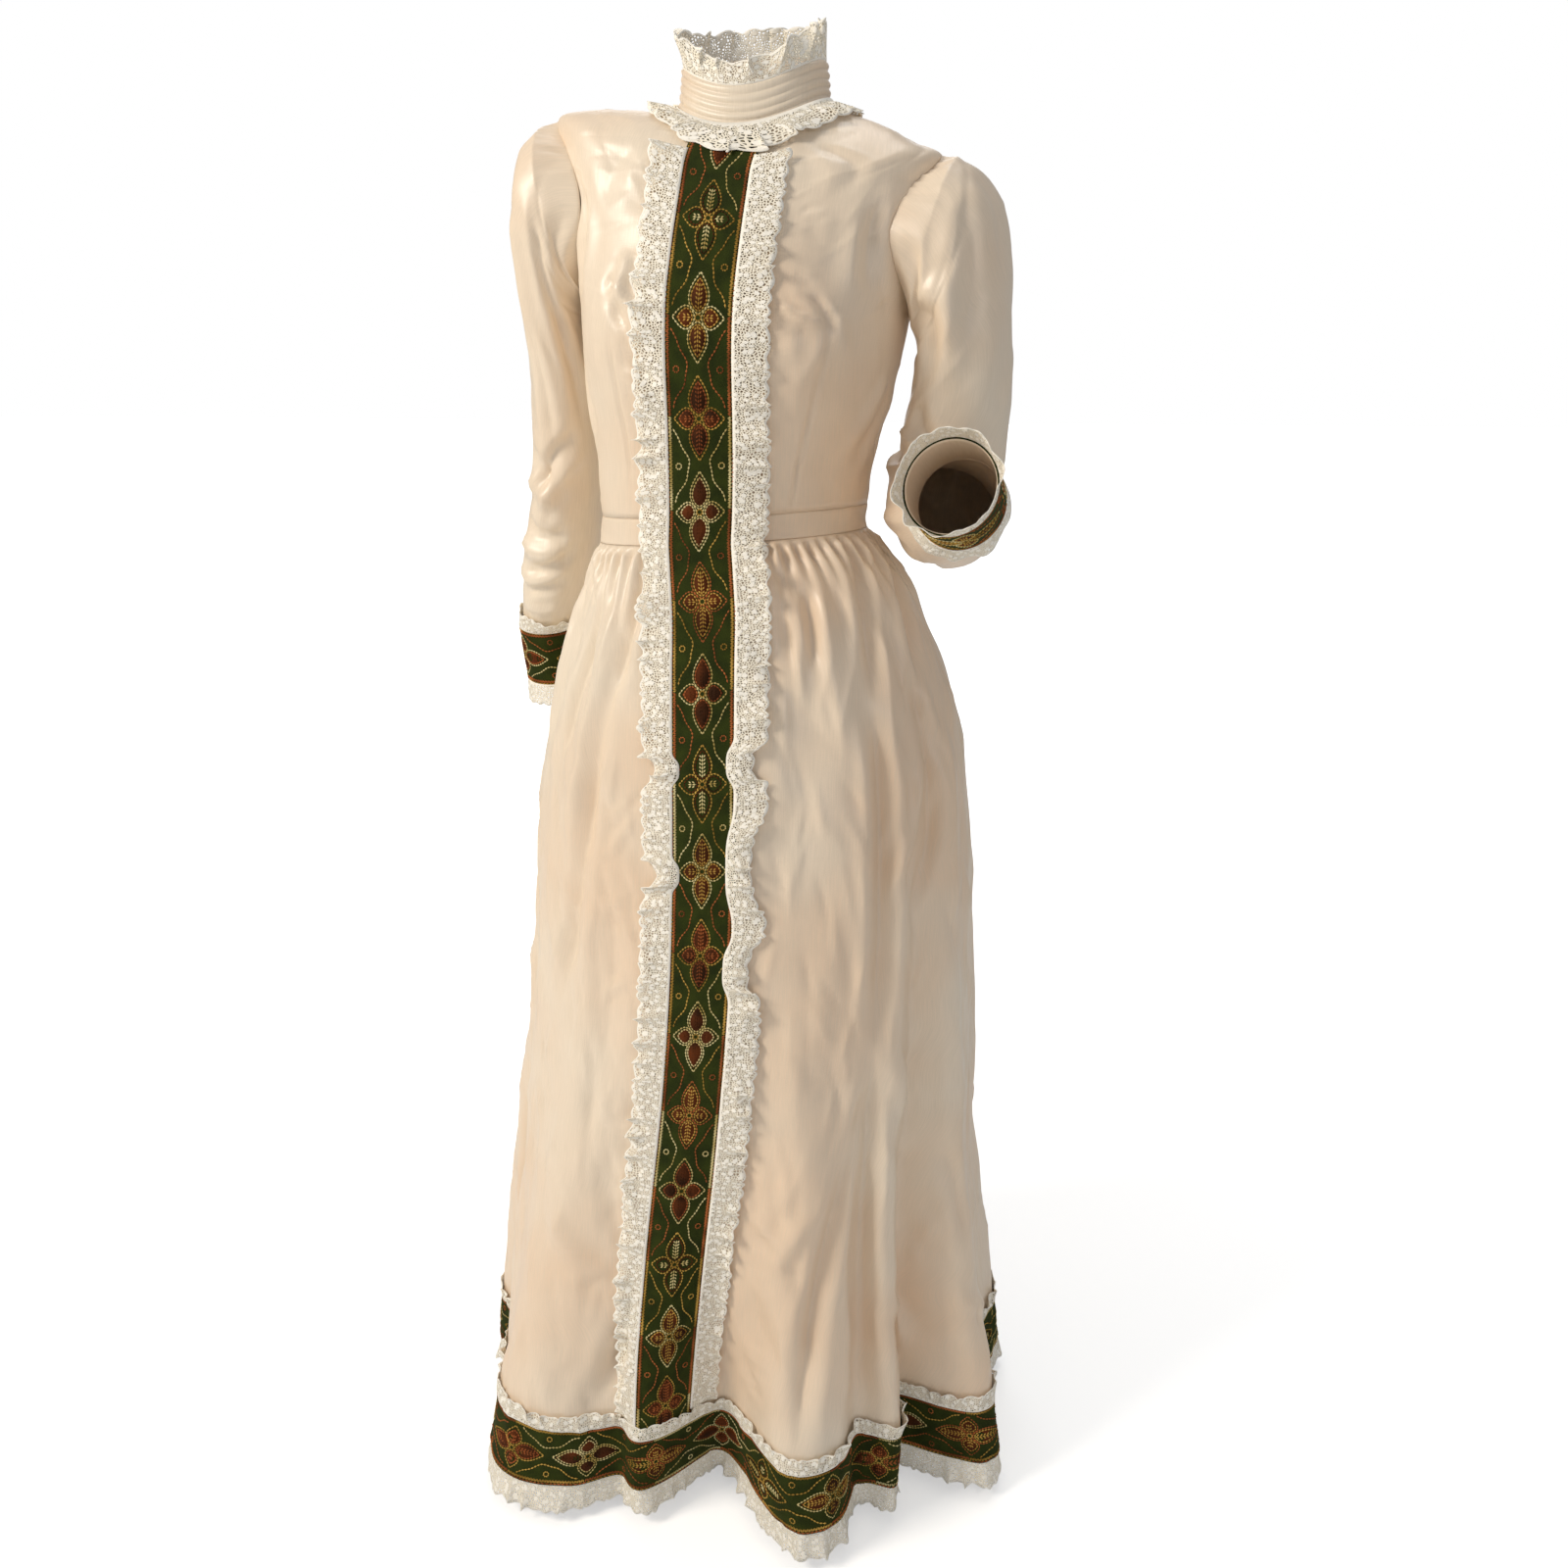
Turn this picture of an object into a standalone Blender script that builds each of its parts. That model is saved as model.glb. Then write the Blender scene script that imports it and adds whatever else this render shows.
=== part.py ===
"""A full-length Victorian-revival dress, holding the shape of its wearer.

The dress hangs from the shoulders, hollow and open at the neck, cuffs and hem. Metres, +Z up.
The origin is midway between the shoulder tips, the wearer faces -Y, and +X is the wearer's left.
A place on the cloth is a level (roughly metres along the side, from the hem to the neck) and an
angle round the body (0 at the centre front, 90 at the wearer's left side, 180 at the centre back).
"""

import math

import bmesh
import bpy
import numpy as np

# Cloth and seams
CLOTH = 0.0012  # wall of every cloth piece
SEAM = 0.0004  # gap between neighbouring pieces
STEP = 0.002  # step used when a surface's direction is measured

# Heights of the seams round the body
WAIST = -0.390
BAND_TOP = -0.365
NECK = 0.100  # level of the neck seam
HEM = -1.392
HEM_RIBBON = 0.065
LACE_DROP = 0.033
RIBBON_TOP = HEM + HEM_RIBBON

# Trims
RIBBON_HALF = 0.033  # half the width of the front ribbon
FRONT_LACE = 0.031  # width of the gathered lace beside it
FRONT_WAVE = 0.0025  # half the height of a ruffle wave
FRONT_LACE_RISE = 0.0022  # how far the lace's outer edge stands off the cloth at least
FRONT_LACE_STEP = 0.0125  # length of a quarter wave
HEM_WAVE = 0.0045
HEM_LACE_TALL = 0.018
NECK_HEIGHT = 0.037
NECK_FOLD = 0.0018  # how far each draped fold of the neck band stands out
NECK_FOLDS = 5
NECK_LACE = 0.036
NECK_LEAN = 0.10  # how far the neck narrows for each metre of height
COLLAR_LACE = 0.030
COLLAR_RISE, COLLAR_WAVE = 0.0015, 0.004
COLLAR_WAVES, NECK_WAVES = 11, 13
NECK_LACE_LEAN, NECK_WAVE = 0.006, 0.005  # how far the standing ruffle leans out, and its waves
CUFF_WALL = 0.0020
CUFF_LACE = 0.026
BUTTON_RADIUS = 0.0045
BUTTON_THICK = 0.0028

# Strips across each piece: the skirt's strips make one gather of four columns each
BODICE_SIDE_COLUMNS, BODICE_BACK_COLUMNS = 9, 8
SKIRT_SIDE_COLUMNS, SKIRT_BACK_COLUMNS = 20, 20
BODICE_ROWS = 18

# Sections of the body and the skirt, from the hem up
SECTION_COLUMNS = (
    "level", "side_z", "front_z", "back_z", "half_width", "front", "back", "shift_x")
SECTIONS = (
    (-1.430, -1.430, -1.430, -1.430, 0.310, 0.252, 0.262, -0.022),
    (-1.300, -1.300, -1.300, -1.300, 0.298, 0.232, 0.250, -0.021),
    (-1.100, -1.100, -1.100, -1.100, 0.272, 0.202, 0.226, -0.018),
    (-0.900, -0.900, -0.900, -0.900, 0.253, 0.180, 0.206, -0.009),
    (-0.750, -0.750, -0.750, -0.750, 0.241, 0.168, 0.192, -0.004),
    (-0.600, -0.600, -0.600, -0.600, 0.222, 0.154, 0.172, -0.004),
    (-0.500, -0.500, -0.500, -0.500, 0.191, 0.139, 0.146, -0.006),
    (-0.450, -0.450, -0.450, -0.450, 0.170, 0.128, 0.126, -0.008),
    (-0.415, -0.415, -0.415, -0.415, 0.153, 0.117, 0.107, -0.013),
    (-0.390, -0.390, -0.390, -0.390, 0.138, 0.105, 0.090, -0.018),
    (-0.365, -0.365, -0.365, -0.365, 0.136, 0.104, 0.088, -0.017),
    (-0.325, -0.325, -0.325, -0.325, 0.139, 0.109, 0.089, -0.014),
    (-0.275, -0.275, -0.275, -0.275, 0.147, 0.118, 0.094, -0.010),
    (-0.220, -0.220, -0.220, -0.220, 0.155, 0.127, 0.100, -0.006),
    (-0.170, -0.170, -0.172, -0.172, 0.160, 0.127, 0.104, -0.003),
    (-0.125, -0.125, -0.135, -0.128, 0.166, 0.117, 0.105, -0.001),
    (-0.085, -0.085, -0.107, -0.088, 0.172, 0.105, 0.101, 0.000),
    (-0.052, -0.052, -0.084, -0.055, 0.179, 0.092, 0.095, 0.000),
    (-0.020, -0.027, -0.064, -0.030, 0.183, 0.081, 0.087, 0.000),
    (0.015, -0.017, -0.050, -0.010, 0.156, 0.073, 0.079, 0.001),
    (0.055, -0.010, -0.040, 0.004, 0.116, 0.066, 0.071, 0.003),
    (0.085, -0.006, -0.033, 0.012, 0.084, 0.060, 0.064, 0.006),
    (0.100, -0.004, -0.030, 0.015, 0.070, 0.056, 0.060, 0.008),
)

# The wearer's left shoulder is the lower one
SHOULDER_TILT = 0.12
TILT_COLUMNS = ("level", "share")
TILT = ((-1.43, 0.0), (-0.26, 0.0), (-0.16, 0.6), (-0.05, 1.0), (0.015, 1.0), (0.07, 0.5), (0.1, 0.0))

# Rounding of the bodice front over the bust, shaped by the waist darts
BUST_ANGLE, BUST_SPREAD = 38.0, 21.0
BUST_LEVEL, BUST_HEIGHT = -0.205, 0.060
BUST_DEPTH = 0.012
DART_ANGLE, DART_WIDTH, DART_DEPTH = 34.0, 4.0, 0.0022
DART_TOP, DART_BOTTOM = -0.24, -0.40

# Large folds of the skirt: a positive depth stands out, a negative one falls in
FOLD_COLUMNS = ("hem_angle", "top_angle", "depth", "half_width", "starts")
FOLDS = (
    (-66.0, -66.0, -0.024, 14.0, -0.60),
    (-34.0, -30.0, 0.050, 22.0, -0.80),
    (-14.0, -16.0, -0.020, 7.0, -1.10),
    (7.0, 14.0, -0.088, 19.0, -0.92),
    (27.0, 26.0, 0.022, 15.0, -0.70),
    (42.0, 36.0, -0.030, 9.0, -1.00),
    (58.0, 60.0, -0.062, 11.0, -0.48),
    (72.0, 74.0, 0.036, 12.0, -0.70),
    (93.0, 93.0, -0.030, 12.0, -0.55),
    (115.0, 113.0, 0.028, 14.0, -0.62),
    (136.0, 134.0, -0.042, 13.0, -0.52),
    (158.0, 156.0, 0.024, 12.0, -0.70),
    (178.0, 178.0, -0.036, 12.0, -0.60),
    (-160.0, -158.0, 0.030, 13.0, -0.64),
    (-137.0, -135.0, -0.044, 13.0, -0.50),
    (-114.0, -114.0, 0.028, 14.0, -0.66),
    (-91.0, -92.0, -0.026, 12.0, -0.58),
)

# Rows of the skirt from the waist down, with the depth of the gathers there
SKIRT_COLUMNS = ("level", "gather")
SKIRT_ROWS = (
    (WAIST - SEAM / 2, 0.0), (-0.404, 0.0034), (-0.430, 0.0050), (-0.490, 0.0036),
    (-0.600, 0.0014), (-0.760, 0.0), (-0.930, 0.0), (-1.070, 0.0), (-1.200, 0.0),
    (RIBBON_TOP, 0.0), (HEM, 0.0))

# Where the centre-front line runs, as an angle
FRONT_LINE_COLUMNS = ("level", "angle")
FRONT_LINE = ((-1.43, -5.0), (-1.20, -3.0), (-0.90, 0.0), (-0.39, 0.0), (-0.02, -1.0), (0.1, 0.0))

# Outline of the bodice panels: the level at the centre, and at the side seam or armhole edge
PANEL_COLUMNS = ("centre", "edge", "angle")
FRONT_PANEL = (
    (-0.3650, -0.365, 90.0),
    (-0.3000, -0.300, 90.0),
    (-0.2350, -0.230, 90.0),
    (-0.1850, -0.172, 90.0),
    (-0.1650, -0.158, 84.0),
    (-0.1400, -0.138, 71.0),
    (-0.1150, -0.112, 62.0),
    (-0.0850, -0.085, 60.0),
    (-0.0550, -0.058, 65.0),
    (-0.0300, -0.034, 78.0),
    (-0.0050, -0.016, 90.0),
    (0.0300, 0.015, 90.0),
    (0.0650, 0.055, 90.0),
    (0.1000, 0.100, 90.0),
)
BACK_PANEL = (
    (-0.3650, -0.365, 90.0),
    (-0.3000, -0.300, 90.0),
    (-0.2350, -0.230, 90.0),
    (-0.1850, -0.172, 90.0),
    (-0.1650, -0.158, 97.0),
    (-0.1400, -0.138, 110.0),
    (-0.1150, -0.112, 119.0),
    (-0.0850, -0.085, 121.0),
    (-0.0550, -0.058, 115.0),
    (-0.0300, -0.034, 102.0),
    (-0.0050, -0.016, 90.0),
    (0.0300, 0.015, 90.0),
    (0.0650, 0.055, 90.0),
    (0.1000, 0.100, 90.0),
)
ARMHOLE_FIRST, ARMHOLE_LAST = 3, 10  # rows of the panel tables that bound the armhole
SIDE_ANGLE = 90.0  # where the side and shoulder seams run

# Sleeves: each row gives the outer and inner point of a ring and the half-depth towards the front
SLEEVE_COLUMNS = (
    "row", "outer_x", "outer_z", "inner_x", "inner_z", "middle_y", "front_y", "front_z")
RIGHT_SLEEVE = (
    (1.0, -0.206, 0.000, -0.1660, -0.158, 0.000, -0.061, 0.000),
    (2.0, -0.226, -0.026, -0.1690, -0.165, 0.003, -0.064, 0.000),
    (3.0, -0.236, -0.068, -0.1700, -0.174, 0.006, -0.062, 0.000),
    (4.0, -0.237, -0.110, -0.1695, -0.190, 0.010, -0.060, 0.000),
    (5.0, -0.2370, -0.165, -0.1680, -0.215, 0.016, -0.058, 0.000),
    (6.0, -0.2365, -0.225, -0.1650, -0.250, 0.026, -0.056, 0.000),
    (7.0, -0.2430, -0.290, -0.1700, -0.295, 0.038, -0.055, -0.008),
    (8.0, -0.2550, -0.350, -0.1770, -0.347, 0.052, -0.053, -0.013),
    (9.0, -0.2750, -0.405, -0.1905, -0.402, 0.066, -0.050, -0.014),
    (10.0, -0.2885, -0.452, -0.2040, -0.450, 0.082, -0.046, -0.013),
    (11.0, -0.2980, -0.490, -0.2210, -0.490, 0.094, -0.040, -0.010),
    (12.0, -0.3055, -0.508, -0.2365, -0.508, 0.100, -0.0355, -0.008),
)
LEFT_SLEEVE = (
    (1.0, 0.200, -0.040, 0.1615, -0.198, 0.000, -0.061, 0.000),
    (2.0, 0.225, -0.063, 0.1645, -0.207, 0.002, -0.065, 0.000),
    (3.0, 0.241, -0.095, 0.1655, -0.218, 0.004, -0.064, 0.000),
    (4.0, 0.249, -0.140, 0.1640, -0.233, 0.007, -0.062, 0.000),
    (5.0, 0.252, -0.190, 0.1600, -0.252, 0.012, -0.060, 0.002),
    (6.0, 0.252, -0.245, 0.1540, -0.276, 0.020, -0.058, 0.006),
    (7.0, 0.250, -0.295, 0.1470, -0.306, 0.0265, -0.0565, 0.015),
    (8.0, 0.247, -0.330, 0.1400, -0.335, 0.027, -0.058, 0.0325),
    (9.0, 0.246, -0.354, 0.1380, -0.357, 0.013, -0.049, 0.045),
    (10.0, 0.249, -0.365, 0.1430, -0.367, -0.014, -0.034, 0.0495),
    (11.0, 0.257, -0.363, 0.1560, -0.366, -0.050, -0.016, 0.048),
    (12.0, 0.264, -0.352, 0.1720, -0.355, -0.0905, -0.002, 0.0445),
    (13.0, 0.266, -0.343, 0.1900, -0.346, -0.122, 0.011, 0.0375),
)
SLEEVE_STRIPS = 18
SLEEVE_ROWS = 14

# Cuffs: a ribbon band on the end of each sleeve
CUFF_LENGTH = 0.066
CUFF_STANDS_OUT = 0.0012  # beyond the sleeve's end
BUTTON_ANGLE = 200.0
BUTTON_SIDES = 12
BUTTON_SHAPE = ((0.0, 0.75), (0.5, 1.0), (1.0, 0.8))  # share of the thickness, share of the radius
CUFF_WAVES = 6
CUFF_LACE_COLUMNS = ("along", "stand", "wave")
UPPER_CUFF_LACE = ((-0.05, SEAM + CLOTH, 0.0), (-0.5, 0.0035, 0.0012), (-1.0, 0.0065, 0.0028))  # in rows
LOWER_CUFF_LACE = ((SEAM, CUFF_STANDS_OUT, 0.0), (CUFF_LACE, 0.005, 0.0035))  # in metres

# Colours, as linear values
TAFFETA = (0.86, 0.70, 0.57, 1.0)
VELVET = (0.028, 0.048, 0.006, 1.0)
LACE = (0.80, 0.74, 0.58, 1.0)
METAL = (0.55, 0.52, 0.47, 1.0)


def clear_scene():
    for thing in list(bpy.data.objects):
        bpy.data.objects.remove(thing, do_unlink=True)


def finish(name, colour, roughness, metallic=0.0):
    """A plain Principled material."""
    made = bpy.data.materials.get(name) or bpy.data.materials.new(name)
    made.use_nodes = True
    shader = made.node_tree.nodes["Principled BSDF"]
    shader.inputs["Base Color"].default_value = colour
    shader.inputs["Roughness"].default_value = roughness
    shader.inputs["Metallic"].default_value = metallic
    return made


def read(table, key):
    """The columns after the first, at a value of the first, on a smooth curve through the rows."""
    rows = np.asarray(table, float)
    keys, values = rows[:, 0], rows[:, 1:]
    if keys[0] > keys[-1]:
        keys, values = keys[::-1], values[::-1]
    key = min(max(key, keys[0]), keys[-1])
    i = min(int(np.searchsorted(keys, key, side="right")) - 1, len(keys) - 2)
    slopes = np.gradient(values, keys, axis=0)
    span = keys[i + 1] - keys[i]
    t = (key - keys[i]) / span
    return (
        values[i] * (2 * t**3 - 3 * t**2 + 1) + values[i + 1] * (3 * t**2 - 2 * t**3)
        + slopes[i] * span * (t**3 - 2 * t**2 + t) + slopes[i + 1] * span * (t**3 - t**2))


def bump(distance, half_width):
    """1 at the middle, falling smoothly to 0 at the half-width."""
    return np.where(np.abs(distance) < half_width, np.cos(distance / half_width * math.pi / 2) ** 2, 0.0)


def turn_between(first, second):
    """The signed turn in degrees from the second angle to the first."""
    return (np.asarray(first) - second + 180.0) % 360.0 - 180.0


def swell(level, angles):
    """How far the cloth stands out from its plain section, in metres, at each angle."""
    out = np.zeros(len(angles))
    if level > WAIST:
        height = math.exp(-(((level - BUST_LEVEL) / BUST_HEIGHT) ** 2))
        for side in (-1, 1):
            across = turn_between(angles, side * BUST_ANGLE) / BUST_SPREAD
            out += BUST_DEPTH * height * np.exp(-(across**2))
            if DART_BOTTOM < level < DART_TOP:
                share = math.sin(math.pi * (level - DART_BOTTOM) / (DART_TOP - DART_BOTTOM))
                out -= DART_DEPTH * share * bump(turn_between(angles, side * DART_ANGLE), DART_WIDTH)
        return out
    for hem_angle, top_angle, depth, half_width, starts in FOLDS:
        if level < starts:
            share = (starts - level) / (starts - HEM)
            middle = top_angle + (hem_angle - top_angle) * (WAIST - level) / (WAIST - HEM)
            width = half_width * (0.7 + 0.3 * min(share, 1.0))
            out += depth * share**1.4 * bump(turn_between(angles, middle), width)
    return out


def plain_ring(level, angles):
    """Points of the cloth's outer face at one level."""
    side_z, front_z, back_z, half_width, front, back, shift = read(SECTIONS, level)
    turn = np.radians(angles)
    sine, cosine = np.sin(turn), np.cos(turn)
    out = swell(level, angles)
    x = shift + half_width * sine + out * sine
    y = -np.where(cosine > 0, front, back) * cosine - out * cosine
    dip = np.where(cosine > 0, front_z - side_z, back_z - side_z)
    z = side_z + dip * cosine**2 - SHOULDER_TILT * read(TILT, level)[0] * (x - shift)
    return np.stack([x, y, z], axis=1)


def outward(upper, lower, after, before):
    """Unit normals from neighbouring points up, down and round the cloth."""
    normal = np.cross(after - before, upper - lower)
    return normal / np.linalg.norm(normal, axis=1)[:, None]


def on_cloth(levels, angles, lift=0.0):
    """Points of the dress at matching levels and angles, lifted off its outer face."""
    levels, angles = np.broadcast_arrays(np.asarray(levels, float), np.asarray(angles, float))
    lifts = np.broadcast_to(np.asarray(lift, float), levels.shape)
    points, normals = np.empty((len(levels), 3)), np.empty((len(levels), 3))
    for level in np.unique(levels):
        rows = levels == level
        here = angles[rows]
        top, bottom = min(level + STEP, NECK), max(level - STEP, -1.43)
        points[rows] = plain_ring(level, here)
        normals[rows] = outward(
            plain_ring(top, here), plain_ring(bottom, here),
            plain_ring(level, here + 0.5), plain_ring(level, here - 0.5))
    return points + normals * lifts[:, None]


def make(name, points, faces, material):
    """A named object from points and faces, turned to face outwards."""
    mesh = bpy.data.meshes.new(name)
    build = bmesh.new()
    corners = [build.verts.new(point) for point in points]
    for face in faces:
        build.faces.new([corners[i] for i in face])
    bmesh.ops.triangulate(build, faces=build.faces[:])
    if build.calc_volume(signed=True) < 0:
        bmesh.ops.reverse_faces(build, faces=build.faces[:])
    build.to_mesh(mesh)
    build.free()
    made = bpy.data.objects.new(name, mesh)
    bpy.context.scene.collection.objects.link(made)
    mesh.materials.append(material)
    mesh.shade_smooth()
    mesh.set_sharp_from_angle(angle=math.radians(40))
    return made


def wall(name, outer, inner, material, closed=False):
    """A closed wall between two grids of points; the columns may run right round."""
    outer, inner = np.asarray(outer), np.asarray(inner)
    rows, columns = outer.shape[:2]
    points = np.concatenate([outer.reshape(-1, 3), inner.reshape(-1, 3)])
    inside = rows * columns
    faces = []
    spans = columns if closed else columns - 1
    for r in range(rows - 1):
        for c in range(spans):
            a, b = r * columns + c, r * columns + (c + 1) % columns
            d, e = a + columns, b + columns
            faces.append((a, b, e, d))
            faces.append((inside + a, inside + d, inside + e, inside + b))
    last = (rows - 1) * columns
    for c in range(spans):
        a, b = c, (c + 1) % columns
        faces.append((b, a, inside + a, inside + b))
        faces.append((last + a, last + b, inside + last + b, inside + last + a))
    if not closed:
        for r in range(rows - 1):
            a, b = r * columns, (r + 1) * columns
            faces.append((a, b, inside + b, inside + a))
            a, b = a + columns - 1, b + columns - 1
            faces.append((b, a, inside + a, inside + b))
    return make(name, points, faces, material)


def cloth_piece(name, levels, angles, material, lift=CLOTH, thickness=CLOTH, closed=False):
    """A wall over the dress from grids of levels and angles; lift is where its outer face lies."""
    levels, angles = np.asarray(levels, float), np.asarray(angles, float)
    lifts = np.broadcast_to(np.asarray(lift, float), levels.shape)
    outer = [on_cloth(*row) for row in zip(levels, angles, lifts)]
    inner = [on_cloth(*row) for row in zip(levels, angles, lifts - thickness)]
    return wall(name, outer, inner, material, closed)


def seam_angle(level):
    """Half a seam's gap, as an angle at the dress's side."""
    return math.degrees(SEAM / 2 / read(SECTIONS, level)[3]) + 0.05


def arc_lengths(points):
    """Length along a line of points, from its first."""
    return np.concatenate([[0], np.cumsum(np.linalg.norm(np.diff(points, axis=0), axis=1))])


def across_front(level, distance):
    """The angle that lies a distance along the cloth from the centre-front line."""
    start = read(FRONT_LINE, level)[0]
    side = 1 if distance >= 0 else -1
    angles = start + side * np.linspace(0, 60, 121)
    run = arc_lengths(plain_ring(level, angles))
    return float(np.interp(abs(distance), run, angles))


def below_neck(angle, distance):
    """The level that lies a distance down the cloth from the neck seam."""
    levels = np.linspace(NECK, -0.10, 81)
    run = arc_lengths(np.array([plain_ring(level, np.array([angle]))[0] for level in levels]))
    return float(np.interp(distance, run, levels))


def front_angles(level, side_angle, side_columns):
    """Angles across a front piece, with columns along the edges of the ribbon and its lace."""
    reach = RIBBON_HALF + FRONT_LACE
    trim = [across_front(level, d) for d in (-reach, -RIBBON_HALF, 0.0, RIBBON_HALF, reach)]
    left = np.linspace(trim[-1], side_angle, side_columns + 1)[1:]
    right = np.linspace(-side_angle, trim[0], side_columns + 1)[:-1]
    return np.concatenate([right, trim, left])


def panel_row(table, at):
    """Centre level, edge level and edge angle of a panel at a row, kept behind its seam."""
    steps = [(float(i), *row) for i, row in enumerate(table)]
    centre, edge, angle = read(steps, at)
    angle = min(angle, SIDE_ANGLE) if table is FRONT_PANEL else max(angle, SIDE_ANGLE)
    return centre, edge, angle


def panel_rows(table):
    """Evenly spaced rows of a panel table, with the seams' gaps at its ends."""
    rows = [list(panel_row(table, at)) for at in np.linspace(0, len(table) - 1, BODICE_ROWS)]
    rows[0][:2] = [BAND_TOP + SEAM / 2] * 2
    rows[-1][:2] = [NECK] * 2
    return rows


def round_pieces(stem, levels, side_columns, back_columns):
    """Names and angle grids of a front piece and two back halves that go round the dress."""
    made = [(f"{stem}_front", [
        front_angles(level, SIDE_ANGLE - seam_angle(level), side_columns) for level in levels])]
    for tail, side in (("left", 1), ("right", -1)):
        made.append((f"{stem}_back_{tail}", [
            side * np.linspace(SIDE_ANGLE + seam_angle(level), 180 - seam_angle(level), back_columns + 1)
            for level in levels]))
    return made


def build_bodice(material):
    """Front bodice with its waist darts, and two back halves meeting at the centre back."""
    levels, angles = [], []
    for centre, edge, angle in panel_rows(FRONT_PANEL):
        row = front_angles(centre, angle - seam_angle(edge), BODICE_SIDE_COLUMNS)
        trim = abs(row[BODICE_SIDE_COLUMNS])
        away = np.clip((np.abs(row) - trim) / (angle - trim), 0, 1)
        away[BODICE_SIDE_COLUMNS:-BODICE_SIDE_COLUMNS] = 0.0
        levels.append(centre + (edge - centre) * away**1.5)
        angles.append(row)
    cloth_piece("bodice_front", levels, angles, material, lift=0.0)
    for tail, side in (("left", 1), ("right", -1)):
        levels, angles = [], []
        for centre, edge, angle in panel_rows(BACK_PANEL):
            gap = seam_angle(edge)
            across = np.linspace(0, 1, BODICE_BACK_COLUMNS + 1)
            levels.append(edge + (centre - edge) * (1 - (1 - across) ** 2))
            angles.append(side * (angle + gap + (180 - angle - 2 * gap) * across))
        cloth_piece(f"bodice_back_{tail}", levels, angles, material, lift=0.0)


def build_waistband(material):
    """The inset band between the bodice and the skirt."""
    levels = (WAIST + SEAM / 2, BAND_TOP - SEAM / 2)
    for name, angles in round_pieces("waistband", levels, BODICE_SIDE_COLUMNS, BODICE_BACK_COLUMNS):
        grid = [[level] * len(row) for level, row in zip(levels, angles)]
        cloth_piece(name, grid, angles, material, lift=0.0)


def gather_wave(count, front):
    """The gathers' height at each column, from -1 to 1, with none under the front trim."""
    wave = np.sin(np.arange(count) * math.pi / 2) * (1 + 0.35 * np.sin(1.7 * np.arange(count)))
    if front:
        wave[SKIRT_SIDE_COLUMNS - 1:count - SKIRT_SIDE_COLUMNS + 1] = 0.0
    wave[0] = wave[-1] = 0.0
    return wave


def build_skirt(material):
    """The gathered skirt: one front and two back panels."""
    levels = [level for level, depth in SKIRT_ROWS]
    for name, angles in round_pieces("skirt", levels, SKIRT_SIDE_COLUMNS, SKIRT_BACK_COLUMNS):
        grid = [[level] * len(row) for level, row in zip(levels, angles)]
        lifts = [depth * gather_wave(len(angles[0]), "front" in name) for level, depth in SKIRT_ROWS]
        cloth_piece(name, grid, angles, material, lift=lifts)


def on_rows(level, rows, places, lift):
    """Points on the flat strips between two rows of a panel, so that a trim lies true on it."""
    (low, low_angles), (high, high_angles) = rows
    share = (level - low) / (high - low)
    base = on_cloth([low] * places, low_angles) * (1 - share) + on_cloth([high] * places, high_angles) * share
    ends = [on_cloth([at] * places, row, 1.0) - on_cloth([at] * places, row)
            for at, row in ((low, low_angles), (high, high_angles))]
    normal = ends[0] * (1 - share) + ends[1] * share
    normal /= np.linalg.norm(normal, axis=1)[:, None]
    return base + normal * np.broadcast_to(np.asarray(lift, float), (places,))[:, None]


def build_hem(velvet, lace):
    """The ribbon round the hem with gathered lace above and below it."""
    above, top, bottom = SKIRT_ROWS[-3][0], RIBBON_TOP, HEM
    pieces = round_pieces("hem", (bottom, top, above), SKIRT_SIDE_COLUMNS, SKIRT_BACK_COLUMNS)
    for name, (hem_angles, top_angles, above_angles) in pieces:
        tail, count = name.removeprefix("hem_"), len(hem_angles)
        grid = [[bottom] * count, [top] * count]
        cloth_piece(f"hem_ribbon_{tail}", grid, (hem_angles, top_angles), velvet, lift=SEAM + CLOTH)
        wave = 0.5 + 0.5 * np.cos(np.arange(count) * math.pi / 2 + 0.3)
        rows = ((top, top_angles), (above, above_angles))
        faces = []
        for inset in (0.0, CLOTH):
            rise = 2 * SEAM + 2 * CLOTH - inset
            faces.append([
                on_rows(top + SEAM, rows, count, rise),
                on_rows(top + HEM_LACE_TALL, rows, count, rise + HEM_WAVE * wave)])
        wall(f"hem_lace_upper_{tail}", *faces, lace)
        lower = [[level] * count for level in (HEM - SEAM, HEM - LACE_DROP)]
        flare = [np.full(count, 0.0), HEM_WAVE * (wave - 0.35)]
        cloth_piece(f"hem_lace_lower_{tail}", lower, [hem_angles] * 2, lace, lift=flare)


def front_rows():
    """Levels of every row of the front pieces, from the hem ribbon to the neck."""
    rows = [level for level, depth in SKIRT_ROWS if level > HEM]
    rows += [WAIST + SEAM / 2, BAND_TOP - SEAM / 2]
    rows += [centre for centre, edge, angle in panel_rows(FRONT_PANEL)]
    return sorted(rows)


def front_strip(bottom, top, step):
    """Steps up the centre front as (level, row below, row above), each on one flat strip."""
    rows = front_rows()
    found = []
    for low, high in zip(rows, rows[1:]):
        start, end = max(low, bottom), min(high, top)
        if end <= start:
            continue
        middle = plain_ring(start, np.zeros(1))[0] - plain_ring(end, np.zeros(1))[0]
        parts = max(1, round(float(np.linalg.norm(middle)) / step)) if step else 1
        found += [(start + (end - start) * i / parts, low, high) for i in range(parts)]
    return found + [(min(top, rows[-1]), found[-1][1], found[-1][2])]


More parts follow.
